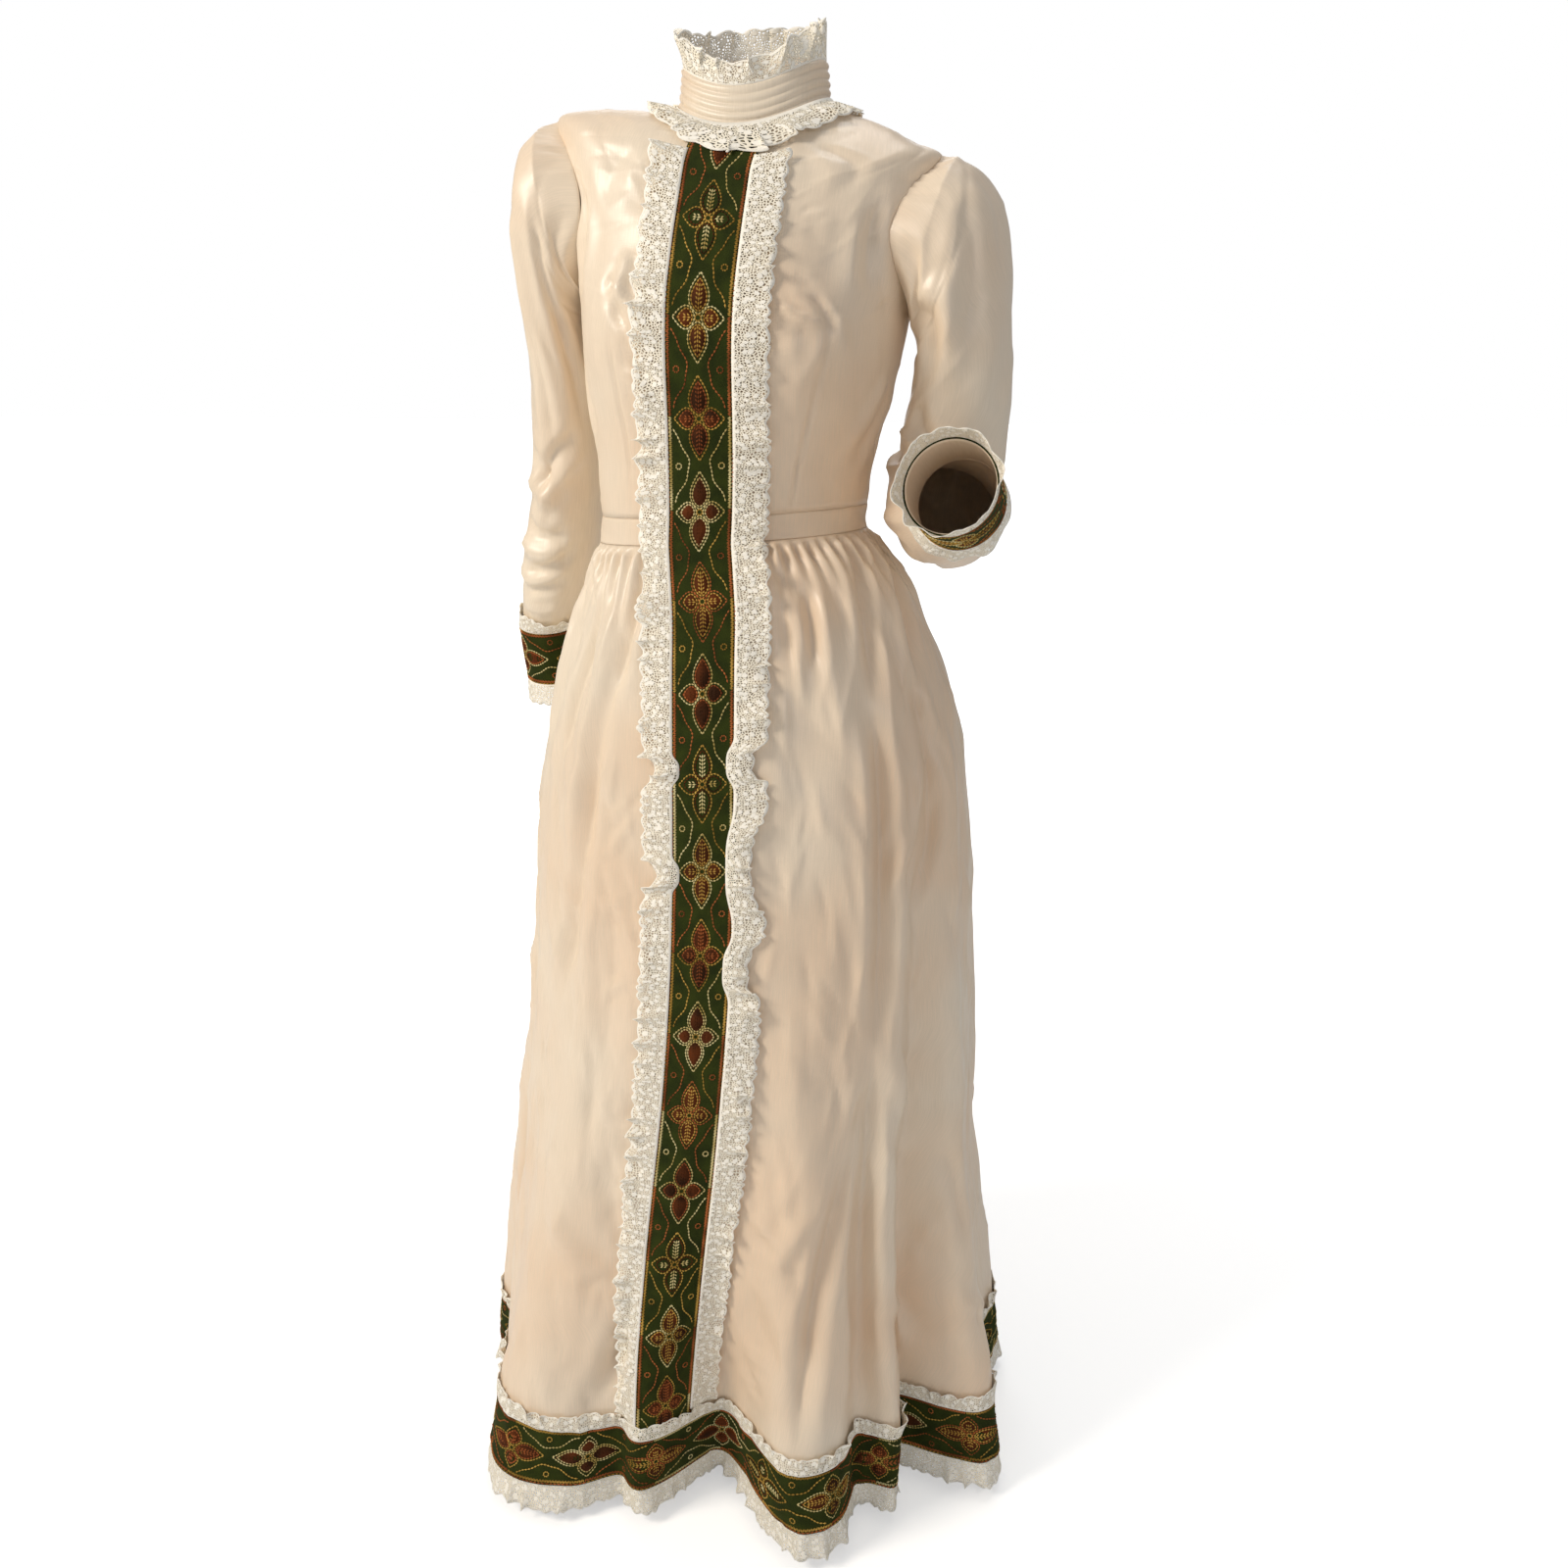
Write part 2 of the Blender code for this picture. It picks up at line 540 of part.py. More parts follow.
def build_front_trim(velvet, lace):
    """The ribbon down the centre front with gathered lace on both sides."""
    steps = front_strip(RIBBON_TOP + SEAM, NECK - 0.010, None)
    spots = (-RIBBON_HALF, 0.0, RIBBON_HALF)
    faces = []
    for rise in (SEAM + CLOTH, SEAM):
        faces.append([
            on_rows(level, [(row, [across_front(row, d) for d in spots]) for row in (low, high)], 3, rise)
            for level, low, high in steps])
    wall("front_ribbon", *faces, velvet)

    top = below_neck(0.0, COLLAR_LACE + 0.004)
    steps = front_strip(RIBBON_TOP + HEM_LACE_TALL + 2 * SEAM, top, FRONT_LACE_STEP)
    for tail, side in (("left", 1), ("right", -1)):
        spots = (side * (RIBBON_HALF + SEAM), side * (RIBBON_HALF + FRONT_LACE))
        faces = [[], []]
        for i, (level, low, high) in enumerate(steps):
            wave = FRONT_WAVE * (1 + math.sin(i * math.pi / 2 + side))
            rows = [(row, [across_front(row, d) for d in spots]) for row in (low, high)]
            for face, rise in zip(faces, (SEAM + CLOTH, SEAM)):
                face.append(on_rows(level, rows, 2, [rise, rise + FRONT_LACE_RISE + wave]))
        wall(f"front_lace_{tail}", *faces, lace)


def neck_ring(rise, out, angles):
    """Points above the neck seam: rise up the neck, and out from it."""
    base = plain_ring(NECK, angles)
    centre = base.mean(axis=0)
    away = base - centre
    away[:, 2] = 0.0
    away /= np.linalg.norm(away, axis=1)[:, None]
    stand = np.broadcast_to(np.asarray(out - NECK_LEAN * rise, float), angles.shape)
    points = base + away * stand[:, None]
    points[:, 2] += rise
    return points


def neck_piece(name, rises, outs, angles, thickness, material):
    """A wall round the neck, open at the centre back."""
    outs = [np.broadcast_to(np.asarray(out, float), angles.shape) for out in outs]
    outer = [neck_ring(rise, out, angles) for rise, out in zip(rises, outs)]
    inner = [neck_ring(rise, out - thickness, angles) for rise, out in zip(rises, outs)]
    return wall(name, outer, inner, material)


def build_neck(cloth, lace):
    """The draped neck band, the standing ruffle on it and the lace collar round its base."""
    angles = np.linspace(-179.6, 179.6, 27)
    rows = 2 * NECK_FOLDS - 1
    start = 3 * SEAM
    rises = [start + (NECK_HEIGHT - start) * i / (rows - 1) for i in range(rows)]
    outs = [NECK_FOLD * (i % 2) for i in range(rows)]
    neck_piece("neck_band", rises, outs, angles, CLOTH, cloth)

    angles = np.linspace(-179.6, 179.6, 4 * NECK_WAVES + 1)
    wave = np.sin(np.radians(NECK_WAVES * angles))
    rises = [NECK_HEIGHT + 2 * SEAM, NECK_HEIGHT + NECK_LACE * (0.92 + 0.08 * np.cos(np.radians(3 * angles)))]
    neck_piece("neck_ruffle", rises, [0.0, NECK_LACE_LEAN + NECK_WAVE * wave], angles, CLOTH, lace)

    first_fold = start + (NECK_HEIGHT - start) / (rows - 1)
    angles = np.linspace(-179.3, 179.3, 4 * COLLAR_WAVES + 1)
    wave = 0.5 + 0.5 * np.sin(np.radians(COLLAR_WAVES * angles))
    faces = []
    for inset in (0.0, CLOTH):
        face = [neck_ring(first_fold, NECK_FOLD + SEAM + CLOTH - inset, angles)]
        for share in (0.5, 1.0):
            levels = [below_neck(angle, share * COLLAR_LACE) for angle in angles]
            lifts = 2 * SEAM + 2 * CLOTH + COLLAR_RISE + COLLAR_WAVE * share * wave - inset
            face.append(on_cloth(levels, angles, lifts))
        faces.append(face)
    wall("collar_lace", *faces, lace)


def armhole(side, angles):
    """Points of the armhole edge, from the shoulder tip round the front to the armpit and back."""
    shares = np.linspace(0, 1, 41)
    loops = []
    for table in (FRONT_PANEL, BACK_PANEL):
        rows = [panel_row(table, ARMHOLE_LAST + (ARMHOLE_FIRST - ARMHOLE_LAST) * share) for share in shares]
        points = np.array([plain_ring(edge, np.array([side * angle]))[0] for centre, edge, angle in rows])
        run = arc_lengths(points)
        loops.append((run / run[-1], points))
    found = []
    for angle in np.asarray(angles) % 360:
        run, points = loops[0] if angle <= 180 else loops[1]
        share = angle / 180 if angle <= 180 else (360 - angle) / 180
        found.append([np.interp(share, run, points[:, axis]) for axis in range(3)])
    return np.array(found)


def sleeve_ring(side, table, row, angles):
    """One ring of a sleeve; row 0 is the armhole, and angle 0 is the outer side."""
    turn = np.radians(angles)
    outer_x, outer_z, inner_x, inner_z, middle_y, front_y, front_z = read(table, max(row, 1.0))
    centre = np.array([(outer_x + inner_x) / 2, middle_y, (outer_z + inner_z) / 2])
    across = np.array([(outer_x - inner_x) / 2, 0.0, (outer_z - inner_z) / 2])
    front = np.array([0.0, front_y, front_z])
    ring = centre + np.outer(np.cos(turn), across) + np.outer(np.sin(turn), front)
    if row < 1.0:
        hole = armhole(side, angles) + np.array([side * 3 * SEAM, 0.0, 0.0])
        share = row * row * (3 - 2 * row)
        ring = hole + (ring - hole) * share
    return ring


def sleeve_points(side, table, row, angles, lift):
    """Points of a sleeve's outer face at one row, lifted off it."""
    angles = np.asarray(angles, float)
    last = table[-1][0]
    low, high = max(row - 0.15, 0.0), min(row + 0.15, last)
    normal = np.cross(
        sleeve_ring(side, table, row, angles + 3) - sleeve_ring(side, table, row, angles - 3),
        sleeve_ring(side, table, high, angles) - sleeve_ring(side, table, low, angles)) * side
    normal /= np.linalg.norm(normal, axis=1)[:, None]
    lift = np.broadcast_to(np.asarray(lift, float), angles.shape)
    return sleeve_ring(side, table, row, angles) + normal * lift[:, None]


def ring_angles(columns):
    return np.arange(columns) * 360.0 / columns


def build_sleeve(name, side, table, material):
    """A sleeve, slightly gathered at the cap, from the armhole to the cuff."""
    angles = ring_angles(SLEEVE_STRIPS)
    rows = np.linspace(0, table[-1][0], SLEEVE_ROWS)
    outer = [sleeve_points(side, table, row, angles, 0.0) for row in rows]
    inner = [sleeve_points(side, table, row, angles, -CLOTH) for row in rows]
    wall(name, outer, inner, material, closed=True)


def cuff_ring(side, table, along, out, angles):
    """A ring of a cuff, a distance along it from the sleeve's end and out from the sleeve's size."""
    angles = np.asarray(angles, float)
    last = table[-1][0]
    ring = sleeve_ring(side, table, last, angles)
    quarters = sleeve_ring(side, table, last, np.array([0.0, 90.0, 180.0, 270.0]))
    centre = quarters.mean(axis=0)
    axis = np.cross(quarters[0] - centre, quarters[1] - centre) * side
    axis /= np.linalg.norm(axis)
    away = ring - centre
    away /= np.linalg.norm(away, axis=1)[:, None]
    out = np.broadcast_to(np.asarray(out, float), angles.shape)
    return ring + axis * along + away * out[:, None]


def build_cuff(tail, side, table, velvet, lace, metal):
    """A ribbon cuff with a ruffle at both edges and a small button."""
    start, end = SEAM, SEAM + CUFF_LENGTH
    angles = ring_angles(SLEEVE_STRIPS)
    faces = [[cuff_ring(side, table, along, out, angles) for along in (start, end)]
             for out in (CUFF_STANDS_OUT, CUFF_STANDS_OUT - CUFF_WALL)]
    wall(f"cuff_{tail}", *faces, velvet, closed=True)

    angles = ring_angles(4 * CUFF_WAVES)
    wave = np.cos(np.radians(CUFF_WAVES * angles))
    last = table[-1][0]
    faces = [[sleeve_points(side, table, last + row, angles, stand + rise * wave - inset)
              for row, stand, rise in UPPER_CUFF_LACE] for inset in (0.0, CLOTH)]
    wall(f"cuff_lace_upper_{tail}", *faces, lace, closed=True)
    faces = [[cuff_ring(side, table, end + along, stand + rise * wave - inset, angles)
              for along, stand, rise in LOWER_CUFF_LACE] for inset in (0.0, CLOTH)]
    wall(f"cuff_lace_lower_{tail}", *faces, lace, closed=True)

    spot = np.array([BUTTON_ANGLE])
    middle, seat = (start + end) / 2, CUFF_STANDS_OUT + 2 * SEAM
    base, top = (cuff_ring(side, table, middle, seat + rise, spot)[0] for rise in (0.0, BUTTON_THICK))
    build_button(f"cuff_button_{tail}", base, top, metal)


def build_button(name, base, top, material):
    """A small round button standing on the cuff."""
    axis = (top - base) / np.linalg.norm(top - base)
    side = np.cross(axis, (0.0, 0.0, 1.0) if abs(axis[2]) < 0.9 else (1.0, 0.0, 0.0))
    side /= np.linalg.norm(side)
    other = np.cross(axis, side)
    turns = np.radians(ring_angles(BUTTON_SIDES))
    points, faces = [], []
    for along, share in BUTTON_SHAPE:
        middle, radius = base + (top - base) * along, BUTTON_RADIUS * share
        points += [middle + radius * (math.cos(t) * side + math.sin(t) * other) for t in turns]
    for ring in range(len(BUTTON_SHAPE) - 1):
        for c in range(BUTTON_SIDES):
            a, b = ring * BUTTON_SIDES + c, ring * BUTTON_SIDES + (c + 1) % BUTTON_SIDES
            faces.append((a, b, b + BUTTON_SIDES, a + BUTTON_SIDES))
    faces += [tuple(range(BUTTON_SIDES - 1, -1, -1)), tuple(range(len(points) - BUTTON_SIDES, len(points)))]
    make(name, points, faces, material)


def main():
    clear_scene()
    taffeta = finish("taffeta", TAFFETA, 0.38)
    velvet = finish("velvet ribbon", VELVET, 0.85)
    lace = finish("cotton lace", LACE, 0.9)
    metal = finish("nickel", METAL, 0.35, 1.0)
    build_bodice(taffeta)
    build_waistband(taffeta)
    build_skirt(taffeta)
    build_hem(velvet, lace)
    build_front_trim(velvet, lace)
    build_neck(taffeta, lace)
    for tail, side, table in (("right", -1, RIGHT_SLEEVE), ("left", 1, LEFT_SLEEVE)):
        build_sleeve(f"sleeve_{tail}", side, table, taffeta)
        build_cuff(tail, side, table, velvet, lace, metal)


main()
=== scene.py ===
"""Looks of a full-length Victorian-revival dress in worn form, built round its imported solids.

Metres, +Z up. The origin is midway between the shoulder tips and the wearer faces -Y. A place on
the cloth is a level (roughly metres along the side) and an angle round the body: 0 at the centre
front, 90 at the wearer's left side, 180 at the centre back.
"""

import logging
import math
from dataclasses import dataclass, field
from enum import Enum

import bpy
import numpy as np
from mathutils import Matrix, Vector

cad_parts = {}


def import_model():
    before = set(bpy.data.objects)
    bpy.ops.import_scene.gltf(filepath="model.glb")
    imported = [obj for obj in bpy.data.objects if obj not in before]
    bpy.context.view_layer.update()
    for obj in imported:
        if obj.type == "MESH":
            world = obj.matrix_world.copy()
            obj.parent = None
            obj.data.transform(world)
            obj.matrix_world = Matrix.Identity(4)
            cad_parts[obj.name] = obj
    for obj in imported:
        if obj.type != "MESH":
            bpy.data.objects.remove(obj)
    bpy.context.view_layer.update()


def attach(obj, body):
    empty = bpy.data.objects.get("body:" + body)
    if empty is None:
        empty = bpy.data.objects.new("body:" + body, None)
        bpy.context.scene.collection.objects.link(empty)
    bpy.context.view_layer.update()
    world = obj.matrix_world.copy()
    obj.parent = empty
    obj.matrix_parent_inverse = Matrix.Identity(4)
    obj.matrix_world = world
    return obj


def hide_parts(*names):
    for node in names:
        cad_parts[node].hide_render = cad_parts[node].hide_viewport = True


LOG = logging.getLogger("dress")
Array = np.ndarray
Placed = tuple[np.ndarray, np.ndarray]  # points and their outward normals
Socket = bpy.types.NodeSocket

SEAM = 0.0004  # gap between neighbouring pieces of the solids
WALL = 0.0009  # thickness given to every cloth shell
WAIST, BAND_TOP, NECK, HEM = -0.390, -0.365, 0.100, -1.392
RIBBON = 0.066  # width of the velvet ribbon
HEM_RIBBON = 0.065
RIBBON_TOP = HEM + HEM_RIBBON
RIBBON_LIFT = 0.0017  # the ribbon's face above the cloth
NECK_HEIGHT, NECK_LEAN = 0.037, 0.10
CUFF_LENGTH = 0.066

# level, side z, front z, back z, half width, front depth, back depth, shift in x
SECTIONS = np.array((
    (-1.430, -1.430, -1.430, -1.430, 0.310, 0.252, 0.262, -0.022),
    (-1.300, -1.300, -1.300, -1.300, 0.298, 0.232, 0.250, -0.021),
    (-1.100, -1.100, -1.100, -1.100, 0.272, 0.202, 0.226, -0.018),
    (-0.900, -0.900, -0.900, -0.900, 0.253, 0.180, 0.206, -0.009),
    (-0.750, -0.750, -0.750, -0.750, 0.241, 0.168, 0.192, -0.004),
    (-0.600, -0.600, -0.600, -0.600, 0.222, 0.154, 0.172, -0.004),
    (-0.500, -0.500, -0.500, -0.500, 0.191, 0.139, 0.146, -0.006),
    (-0.450, -0.450, -0.450, -0.450, 0.170, 0.128, 0.126, -0.008),
    (-0.415, -0.415, -0.415, -0.415, 0.153, 0.117, 0.107, -0.013),
    (-0.390, -0.390, -0.390, -0.390, 0.138, 0.105, 0.090, -0.018),
    (-0.365, -0.365, -0.365, -0.365, 0.136, 0.104, 0.088, -0.017),
    (-0.325, -0.325, -0.325, -0.325, 0.139, 0.109, 0.089, -0.014),
    (-0.275, -0.275, -0.275, -0.275, 0.147, 0.118, 0.094, -0.010),
    (-0.220, -0.220, -0.220, -0.220, 0.155, 0.127, 0.100, -0.006),
    (-0.170, -0.170, -0.172, -0.172, 0.160, 0.127, 0.104, -0.003),
    (-0.125, -0.125, -0.135, -0.128, 0.166, 0.117, 0.105, -0.001),
    (-0.085, -0.085, -0.107, -0.088, 0.172, 0.105, 0.101, 0.000),
    (-0.052, -0.052, -0.084, -0.055, 0.179, 0.092, 0.095, 0.000),
    (-0.020, -0.027, -0.064, -0.030, 0.183, 0.081, 0.087, 0.000),
    (0.015, -0.017, -0.050, -0.010, 0.156, 0.073, 0.079, 0.001),
    (0.055, -0.010, -0.040, 0.004, 0.116, 0.066, 0.071, 0.003),
    (0.085, -0.006, -0.033, 0.012, 0.084, 0.060, 0.064, 0.006),
    (0.100, -0.004, -0.030, 0.015, 0.070, 0.056, 0.060, 0.008),
))
# level, share of the shoulders' tilt
TILT = np.array((
    (-1.43, 0.0), (-0.26, 0.0), (-0.16, 0.6), (-0.05, 1.0), (0.015, 1.0), (0.07, 0.5), (0.1, 0.0)))
# level, angle of the centre-front line
FRONT_LINE = np.array((
    (-1.43, -5.0), (-1.20, -3.0), (-0.90, 0.0), (-0.39, 0.0), (-0.02, -1.0), (0.1, 0.0)))
# angle at the hem, angle at the waist, depth, half width in degrees, level where the fold starts
FOLDS = (
    (-66.0, -66.0, -0.024, 14.0, -0.60),
    (-34.0, -30.0, 0.050, 22.0, -0.80),
    (-14.0, -16.0, -0.020, 7.0, -1.10),
    (7.0, 14.0, -0.088, 19.0, -0.92),
    (27.0, 26.0, 0.022, 15.0, -0.70),
    (42.0, 36.0, -0.030, 9.0, -1.00),
    (58.0, 60.0, -0.062, 11.0, -0.48),
    (72.0, 74.0, 0.036, 12.0, -0.70),
    (93.0, 93.0, -0.030, 12.0, -0.55),
    (115.0, 113.0, 0.028, 14.0, -0.62),
    (136.0, 134.0, -0.042, 13.0, -0.52),
    (158.0, 156.0, 0.024, 12.0, -0.70),
    (178.0, 178.0, -0.036, 12.0, -0.60),
    (-160.0, -158.0, 0.030, 13.0, -0.64),
    (-137.0, -135.0, -0.044, 13.0, -0.50),
    (-114.0, -114.0, 0.028, 14.0, -0.66),
    (-91.0, -92.0, -0.026, 12.0, -0.58),
)
# row, level at the centre, level at the side or armhole edge, angle of that edge
FRONT_PANEL = np.array((
    (0, -0.3650, -0.365, 90.0), (1, -0.3000, -0.300, 90.0), (2, -0.2350, -0.230, 90.0),
    (3, -0.1850, -0.172, 90.0), (4, -0.1650, -0.158, 84.0), (5, -0.1400, -0.138, 71.0),
    (6, -0.1150, -0.112, 62.0), (7, -0.0850, -0.085, 60.0), (8, -0.0550, -0.058, 65.0),
    (9, -0.0300, -0.034, 78.0), (10, -0.0050, -0.016, 90.0), (11, 0.0300, 0.015, 90.0),
    (12, 0.0650, 0.055, 90.0), (13, 0.1000, 0.100, 90.0)))
BACK_PANEL = np.array((
    (0, -0.3650, -0.365, 90.0), (1, -0.3000, -0.300, 90.0), (2, -0.2350, -0.230, 90.0),
    (3, -0.1850, -0.172, 90.0), (4, -0.1650, -0.158, 97.0), (5, -0.1400, -0.138, 110.0),
    (6, -0.1150, -0.112, 119.0), (7, -0.0850, -0.085, 121.0), (8, -0.0550, -0.058, 115.0),
    (9, -0.0300, -0.034, 102.0), (10, -0.0050, -0.016, 90.0), (11, 0.0300, 0.015, 90.0),
    (12, 0.0650, 0.055, 90.0), (13, 0.1000, 0.100, 90.0)))
ARMHOLE_FIRST, ARMHOLE_LAST, PANEL_LAST = 3, 10, 13  # rows of the two tables above
# row, outer x, outer z, inner x, inner z, middle y, half depth in y, half depth in z
RIGHT_SLEEVE = np.array((
    (1.0, -0.201, -0.011, -0.1660, -0.158, 0.000, -0.061, 0.000),
    (2.0, -0.225, -0.031, -0.1690, -0.165, 0.003, -0.064, 0.000),
    (3.0, -0.236, -0.068, -0.1700, -0.174, 0.006, -0.062, 0.000),
    (4.0, -0.237, -0.110, -0.1695, -0.190, 0.010, -0.060, 0.000),
    (5.0, -0.2370, -0.165, -0.1680, -0.215, 0.016, -0.058, 0.000),
    (6.0, -0.2365, -0.225, -0.1650, -0.250, 0.026, -0.056, 0.000),
    (7.0, -0.2430, -0.290, -0.1700, -0.295, 0.038, -0.055, -0.008),
    (8.0, -0.2550, -0.350, -0.1770, -0.347, 0.052, -0.053, -0.013),
    (9.0, -0.2750, -0.405, -0.1905, -0.402, 0.066, -0.050, -0.014),
    (10.0, -0.2885, -0.452, -0.2040, -0.450, 0.082, -0.046, -0.013),
    (11.0, -0.2980, -0.490, -0.2210, -0.490, 0.094, -0.040, -0.010),
    (12.0, -0.3055, -0.508, -0.2365, -0.508, 0.100, -0.0355, -0.008)))
LEFT_SLEEVE = np.array((
    (1.0, 0.198, -0.052, 0.1615, -0.198, 0.000, -0.061, 0.000),
    (2.0, 0.223, -0.068, 0.1645, -0.207, 0.002, -0.065, 0.000),
    (3.0, 0.241, -0.095, 0.1655, -0.218, 0.004, -0.064, 0.000),
    (4.0, 0.249, -0.140, 0.1640, -0.233, 0.007, -0.062, 0.000),
    (5.0, 0.252, -0.190, 0.1600, -0.252, 0.012, -0.060, 0.002),
    (6.0, 0.252, -0.245, 0.1540, -0.276, 0.020, -0.058, 0.006),
    (7.0, 0.250, -0.295, 0.1470, -0.306, 0.0265, -0.0565, 0.015),
    (8.0, 0.247, -0.330, 0.1400, -0.335, 0.027, -0.058, 0.0325),
    (9.0, 0.246, -0.354, 0.1380, -0.357, 0.013, -0.049, 0.045),
    (10.0, 0.249, -0.365, 0.1430, -0.367, -0.014, -0.034, 0.0495),
    (11.0, 0.257, -0.363, 0.1560, -0.366, -0.050, -0.016, 0.048),
    (12.0, 0.264, -0.352, 0.1720, -0.355, -0.0905, -0.002, 0.0445),
    (13.0, 0.266, -0.343, 0.1900, -0.346, -0.122, 0.011, 0.0375)))

# Creases: start level, start angle, end level, end angle, width at the start and the end in mm,
# depth in mm (a negative one falls in), bend in mm
BODICE_CREASES = (
    (-0.130, -28, -0.196, -36, 5, 8, 2.6, 6),
    (-0.150, -34, -0.205, -27, 5, 7, -2.4, -5),
    (-0.158, -30, -0.202, -16, 4, 7, 2.0, -6),
    (-0.176, -33, -0.222, -24, 4, 6, -1.8, 3),
    (-0.200, -33, -0.352, -33, 2, 2, -1.6, 0),
    (-0.221, -31, -0.250, -15, 4, 6, -2.6, 3),
    (-0.236, -31, -0.262, -17, 4, 6, 2.2, 3),
    (-0.252, -31, -0.276, -19, 4, 5, -1.4, 2),
    (-0.290, -30, -0.330, -18, 6, 8, -1.2, 4),
    (-0.172, 23, -0.190, 41, 4, 4, 2.0, -4),
    (-0.160, 33, -0.200, 42, 4, 4, -2.2, 3),
    (-0.176, 44, -0.226, 49, 5, 8, 1.6, -3),
    (-0.187, 41, -0.386, 37, 2, 2, -1.5, 0),
    (-0.200, 38, -0.260, 30, 6, 9, 1.2, 4),
    (-0.225, 78, -0.320, 54, 6, 10, 1.8, 8),
    (-0.245, 84, -0.330, 64, 5, 9, -1.9, 6),
    (-0.290, 92, -0.350, 70, 5, 8, -1.4, 4),
    (-0.072, -30, -0.004, -15, 8, 12, 1.5, 6),
    (-0.095, -40, -0.010, -24, 9, 12, -1.4, 8),
    (0.030, 33, -0.060, 41, 5, 9, -1.4, 5),
    (0.010, 28, -0.060, 32, 6, 9, 1.0, 5),
    (-0.060, 52, -0.170, 58, 8, 12, -2.6, -6),
    (-0.080, 46, -0.170, 50, 8, 12, 1.6, -5),
    (-0.070, -56, -0.190, -62, 8, 12, -2.4, 6),
    (-0.090, -48, -0.180, -54, 8, 10, 1.4, 5),
    (-0.150, -80, -0.300, -62, 6, 10, -2.0, 8),
    (-0.180, -86, -0.320, -70, 6, 10, 1.6, 8),
    (-0.070, 122, -0.190, 118, 8, 12, -2.4, 6),
    (-0.060, 134, -0.200, 128, 9, 12, 1.6, 6),
    (-0.150, 99, -0.290, 124, 6, 11, -1.8, -7),
    (-0.270, 112, -0.345, 140, 6, 9, 1.6, -4),
    (-0.240, 150, -0.330, 168, 6, 9, -1.6, 5),
    (-0.040, 158, -0.130, 170, 9, 12, 1.4, 5),
    (-0.075, -122, -0.185, -116, 8, 12, -2.4, -6),
    (-0.060, -136, -0.190, -130, 9, 12, 1.6, -5),
    (-0.160, -100, -0.300, -126, 6, 11, -1.8, 6),
    (-0.280, -116, -0.340, -146, 6, 9, 1.5, 4),
    (-0.235, -152, -0.320, -170, 6, 9, -1.5, -5),
)
